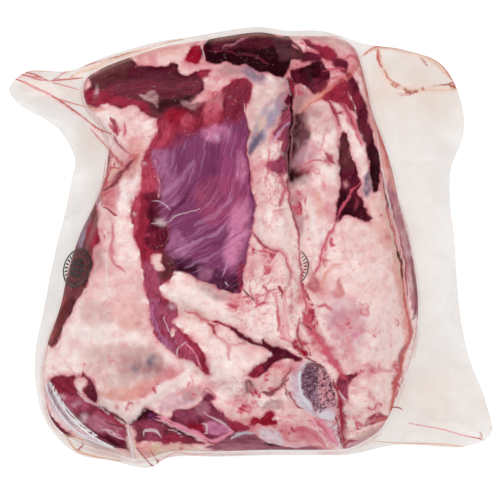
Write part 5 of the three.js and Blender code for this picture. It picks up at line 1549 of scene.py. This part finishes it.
class LAMB_OT_film(bpy.types.Operator):
    """Builds the vacuum film, drawn tight over the meat and flat in the margin"""

    bl_idname = "lamb.film"
    bl_label = "Vacuum film"

    def execute(self, context):
        settings = context.scene.lamb_film
        outline = Outline(settings.steps)
        over = self.over_meat(outline, settings)
        margin = self.margin(outline, settings)
        upper = np.dstack([margin[..., :2], margin[..., 2] + HALF_MARGIN])
        lower = np.dstack([margin[..., :2], margin[..., 2] - HALF_MARGIN])[::-1]
        under = self.under_meat(outline)
        rings = np.concatenate([over, upper, lower, under])
        pole = (*CENTRE, over[0, :, 2].mean())
        piece = ring_piece("vacuum_film", rings, pole, (*CENTRE, UNDER_LIFT))
        self.paint(piece, settings, len(over), len(margin))
        piece.data.materials.append(film_material(context.scene.lamb_palette))
        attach(piece, "root")
        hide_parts("bag_margin")
        return {"FINISHED"}

    def over_meat(self, outline, settings):
        """Film over the meat: it rests on the meat or bridges it at the mean of its neighbours."""
        shares = ring_shares(settings.rings)
        spots = outline.ring(shares)
        share = np.broadcast_to(shares[:, None], spots.shape[:2])
        x, y = spots[..., 0], spots[..., 1]
        meat = meat_height(x, y, share)
        out, dome = bone_dome(x, y)
        sink = bpy.context.scene.lamb_meat.sink * 1000
        floor = np.maximum(meat - sink, np.where(out < 1.1, dome + OVER_BONE, 0))
        floor += settings.gap * 1000
        film = floor.copy()
        for _ in range(TAUT_ROUNDS):
            inner = np.vstack([film[:1], film[:-1]])
            outer = np.vstack([film[1:], film[-1:]])
            mean = (inner + outer + np.roll(film, 1, axis=1) + np.roll(film, -1, axis=1)) / 4
            film = np.maximum(floor, mean)
        return np.dstack([spots, film])

    def margin(self, outline, settings):
        """Middle surface of the margin: from the leg's edge out to the bag's, sinking and rippled."""
        share = (np.arange(1, settings.margin_rings + 1) / settings.margin_rings)[:, None]
        width = np.linalg.norm(outline.bag - outline.leg, axis=1)
        round_trip = 2 * np.pi * np.arange(outline.count) / outline.count
        size = np.minimum(1, width / MARGIN_REACH)
        drop = MARGIN_DROP * size * np.sin(np.pi / 2 * share)
        ripple = np.sin(WAVE_COUNT * round_trip) + 0.6 * np.sin(9 * round_trip + 1)
        spots = outline.leg + (outline.bag - outline.leg) * share[..., None]
        height = RIM_HEIGHT - 1 - drop + WAVE_HEIGHT * ripple * share * size
        height += 0.5 * lumps(spots[..., 0], spots[..., 1], 7, 21) * share
        return np.dstack([spots, height])

    def under_meat(self, outline):
        """Film under the rim, down the side and flat on the table."""
        angles = np.pi / 2 * np.arange(UNDER_RINGS + 1) / UNDER_RINGS
        side = outline.ring(FOOT_SHARE + (1 - FOOT_SHARE) * np.cos(angles))
        low = np.broadcast_to((RIM_HEIGHT * (1 - np.sin(angles)))[:, None], side.shape[:2])
        return np.dstack([side, np.maximum(low, UNDER_LIFT)])

    def paint(self, piece, settings, over, margin):
        """Keeps in the mesh how white the film is and where its pleats and stains lie."""
        points = points_of(piece)
        x, y = on_sheet(*points.T)
        count = over + 2 * margin + UNDER_RINGS + 1
        ring = np.repeat(np.arange(count), (len(points) - 2) // count)
        ring = np.concatenate([[0], ring, [count - 1]])
        slack = smooth(over - 2.5, over - 0.5, ring) * smooth(over + 2 * margin + 1, over + 2 * margin, ring)
        veil = settings.tight_veil + (settings.slack_veil - settings.tight_veil) * slack
        warm = shared(0, WARM_DABS, x, y)
        put_number(piece, "warm", warm)
        veil *= 1 + 0.35 * warm
        # Dabs of milky film and painted sheen, on the film over the meat only.
        for dab in VEIL_AND_SHEEN_DABS:
            veil += dab[-1] * oval_share(dab, x, y) * (ring < over)
        # A pinkish painted shade on the film along the meat's edge.
        rim = self.rim_share(settings, x, y) * (ring < over + margin)
        veil += 0.3 * rim
        put_number(piece, "rim", rim)
        put_number(piece, "veil", veil)
        put_strokes(piece, "pleat", PLEATS, x, y)
        put_vector(piece, "stamp", self.stamped(x, y))

    def rim_share(self, settings, x, y):
        """Share of the pinkish painted shade where the film leaves the meat, more in some places."""
        leg = Outline(settings.steps).leg - PACK_MIDDLE
        edge_x, edge_y = on_sheet(leg[:, 0], leg[:, 1], RIM_HEIGHT)
        off = path_distance(np.stack([edge_x, edge_y], axis=1), x, y)[0]
        patchy = smooth(-0.7, 0.6, lumps(x, y, 26, 51) + 0.4 * lumps(x, y, 9, 52))
        return np.exp(-((off / 2) ** 2)) * (0.2 + 0.8 * patchy)

    def stamped(self, x, y):
        """Places measured in each stamp's own half sizes, and whether the stamp shows there."""
        spots = np.full((len(x), 3), (9.0, 9.0, 0.0))
        for (cx, cy), (half_u, half_v), turn, first_x in STAMPS:
            c, s = math.cos(math.radians(turn)), math.sin(math.radians(turn))
            u = ((x - cx) * c + (y - cy) * s) / half_u
            v = ((y - cy) * c - (x - cx) * s) / half_v
            near = np.hypot(u, v) < 3
            spots[near] = np.stack([u, v, smooth(first_x - 1, first_x + 1, x)], axis=1)[near]
        return spots


class LAMB_OT_stage(bpy.types.Operator):
    """Adds the floor, the studio light and the camera"""

    bl_idname = "lamb.stage"
    bl_label = "Stage"

    def execute(self, context):
        stage = context.scene.lamb_stage
        self.floor(stage)
        self.light(context, stage)
        self.camera(context, stage)
        context.scene.view_settings.view_transform = "Standard"
        return {"FINISHED"}

    def floor(self, stage):
        mesh = bpy.data.meshes.new("floor")
        around = [(-1, -1), (1, -1), (1, 1), (-1, 1)]
        corners = [(x * FLOOR_HALF, y * FLOOR_HALF, -FLOOR_DEPTH) for x, y in around]
        mesh.from_pydata(corners, [], [(0, 1, 2, 3)])
        floor = bpy.data.objects.new("floor", mesh)
        bpy.context.scene.collection.objects.link(floor)
        g = Graph("floor_white")
        mesh.materials.append(g.finish({
            "Base Color": (*stage.floor_colour, 1.0),
            "Roughness": 0.8,
            "Specular IOR Level": 0.0,
            "Emission Color": (1.0, 1.0, 1.0, 1.0),
            "Emission Strength": stage.floor_glow,
        }))
        floor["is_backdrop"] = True

    def light(self, context, stage):
        world = bpy.data.worlds.new("studio")
        world.use_nodes = True
        background = world.node_tree.nodes["Background"]
        background.inputs["Color"].default_value = (1.0, 1.0, 1.0, 1.0)
        background.inputs["Strength"].default_value = stage.sky
        context.scene.world = world
        for name, azimuth, elevation, strength in (
                ("key", 122, 42, 1.85), ("fill", 10, 42, 0.68), ("rim", 280, 42, 1.25)):
            lamp = bpy.data.lights.new(name, "SUN")
            lamp.energy = strength
            lamp.angle = math.radians(35)
            lamp.specular_factor = 0.1
            sun = bpy.data.objects.new(name, lamp)
            a, e = math.radians(azimuth), math.radians(elevation)
            away = Vector((math.cos(a) * math.cos(e), math.sin(a) * math.cos(e), math.sin(e)))
            sun.rotation_euler = away.to_track_quat("Z", "Y").to_euler()
            context.scene.collection.objects.link(sun)

    def camera(self, context, stage):
        camera = bpy.data.cameras.new("camera")
        camera.lens = stage.lens
        camera.sensor_width = 36.0
        camera.clip_end = 20.0
        seen = bpy.data.objects.new("camera", camera)
        seen.location = (*(-PACK_MIDDLE * 0.001), EYE_HEIGHT * 0.001)
        context.scene.collection.objects.link(seen)
        context.scene.camera = seen


class LAMB_PT_panel(bpy.types.Panel):
    """Lists the steps that build the leg of lamb"""

    bl_idname = "LAMB_PT_panel"
    bl_label = "Leg of lamb"
    bl_space_type = "VIEW_3D"
    bl_region_type = "UI"
    bl_category = "Lamb"

    def draw(self, context):
        for operator in OPERATORS:
            self.layout.operator(operator.bl_idname)
        for settings in ("lamb_palette", "lamb_meat", "lamb_film", "lamb_stage"):
            group = getattr(context.scene, settings)
            for name in group.bl_rna.properties.keys():
                if name not in ("rna_type", "name"):
                    self.layout.prop(group, name)


SETTINGS = {
    "lamb_palette": LambPalette,
    "lamb_meat": LambMeat,
    "lamb_film": LambFilm,
    "lamb_stage": LambStage,
}
OPERATORS = (LAMB_OT_meat, LAMB_OT_bone, LAMB_OT_film, LAMB_OT_stage)


def register():
    for cls in (*SETTINGS.values(), *OPERATORS, LAMB_PT_panel):
        bpy.utils.register_class(cls)
    for name, cls in SETTINGS.items():
        setattr(bpy.types.Scene, name, PointerProperty(type=cls))


def unregister():
    for name in SETTINGS:
        delattr(bpy.types.Scene, name)
    for cls in reversed((*SETTINGS.values(), *OPERATORS, LAMB_PT_panel)):
        bpy.utils.unregister_class(cls)


def main():
    """Builds the pieces in order."""
    register()
    bpy.ops.lamb.meat()
    bpy.ops.lamb.bone()
    bpy.ops.lamb.film()
    bpy.ops.lamb.stage()
    shown = [list(corner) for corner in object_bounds()]


if __name__ == "__main__":
    main()
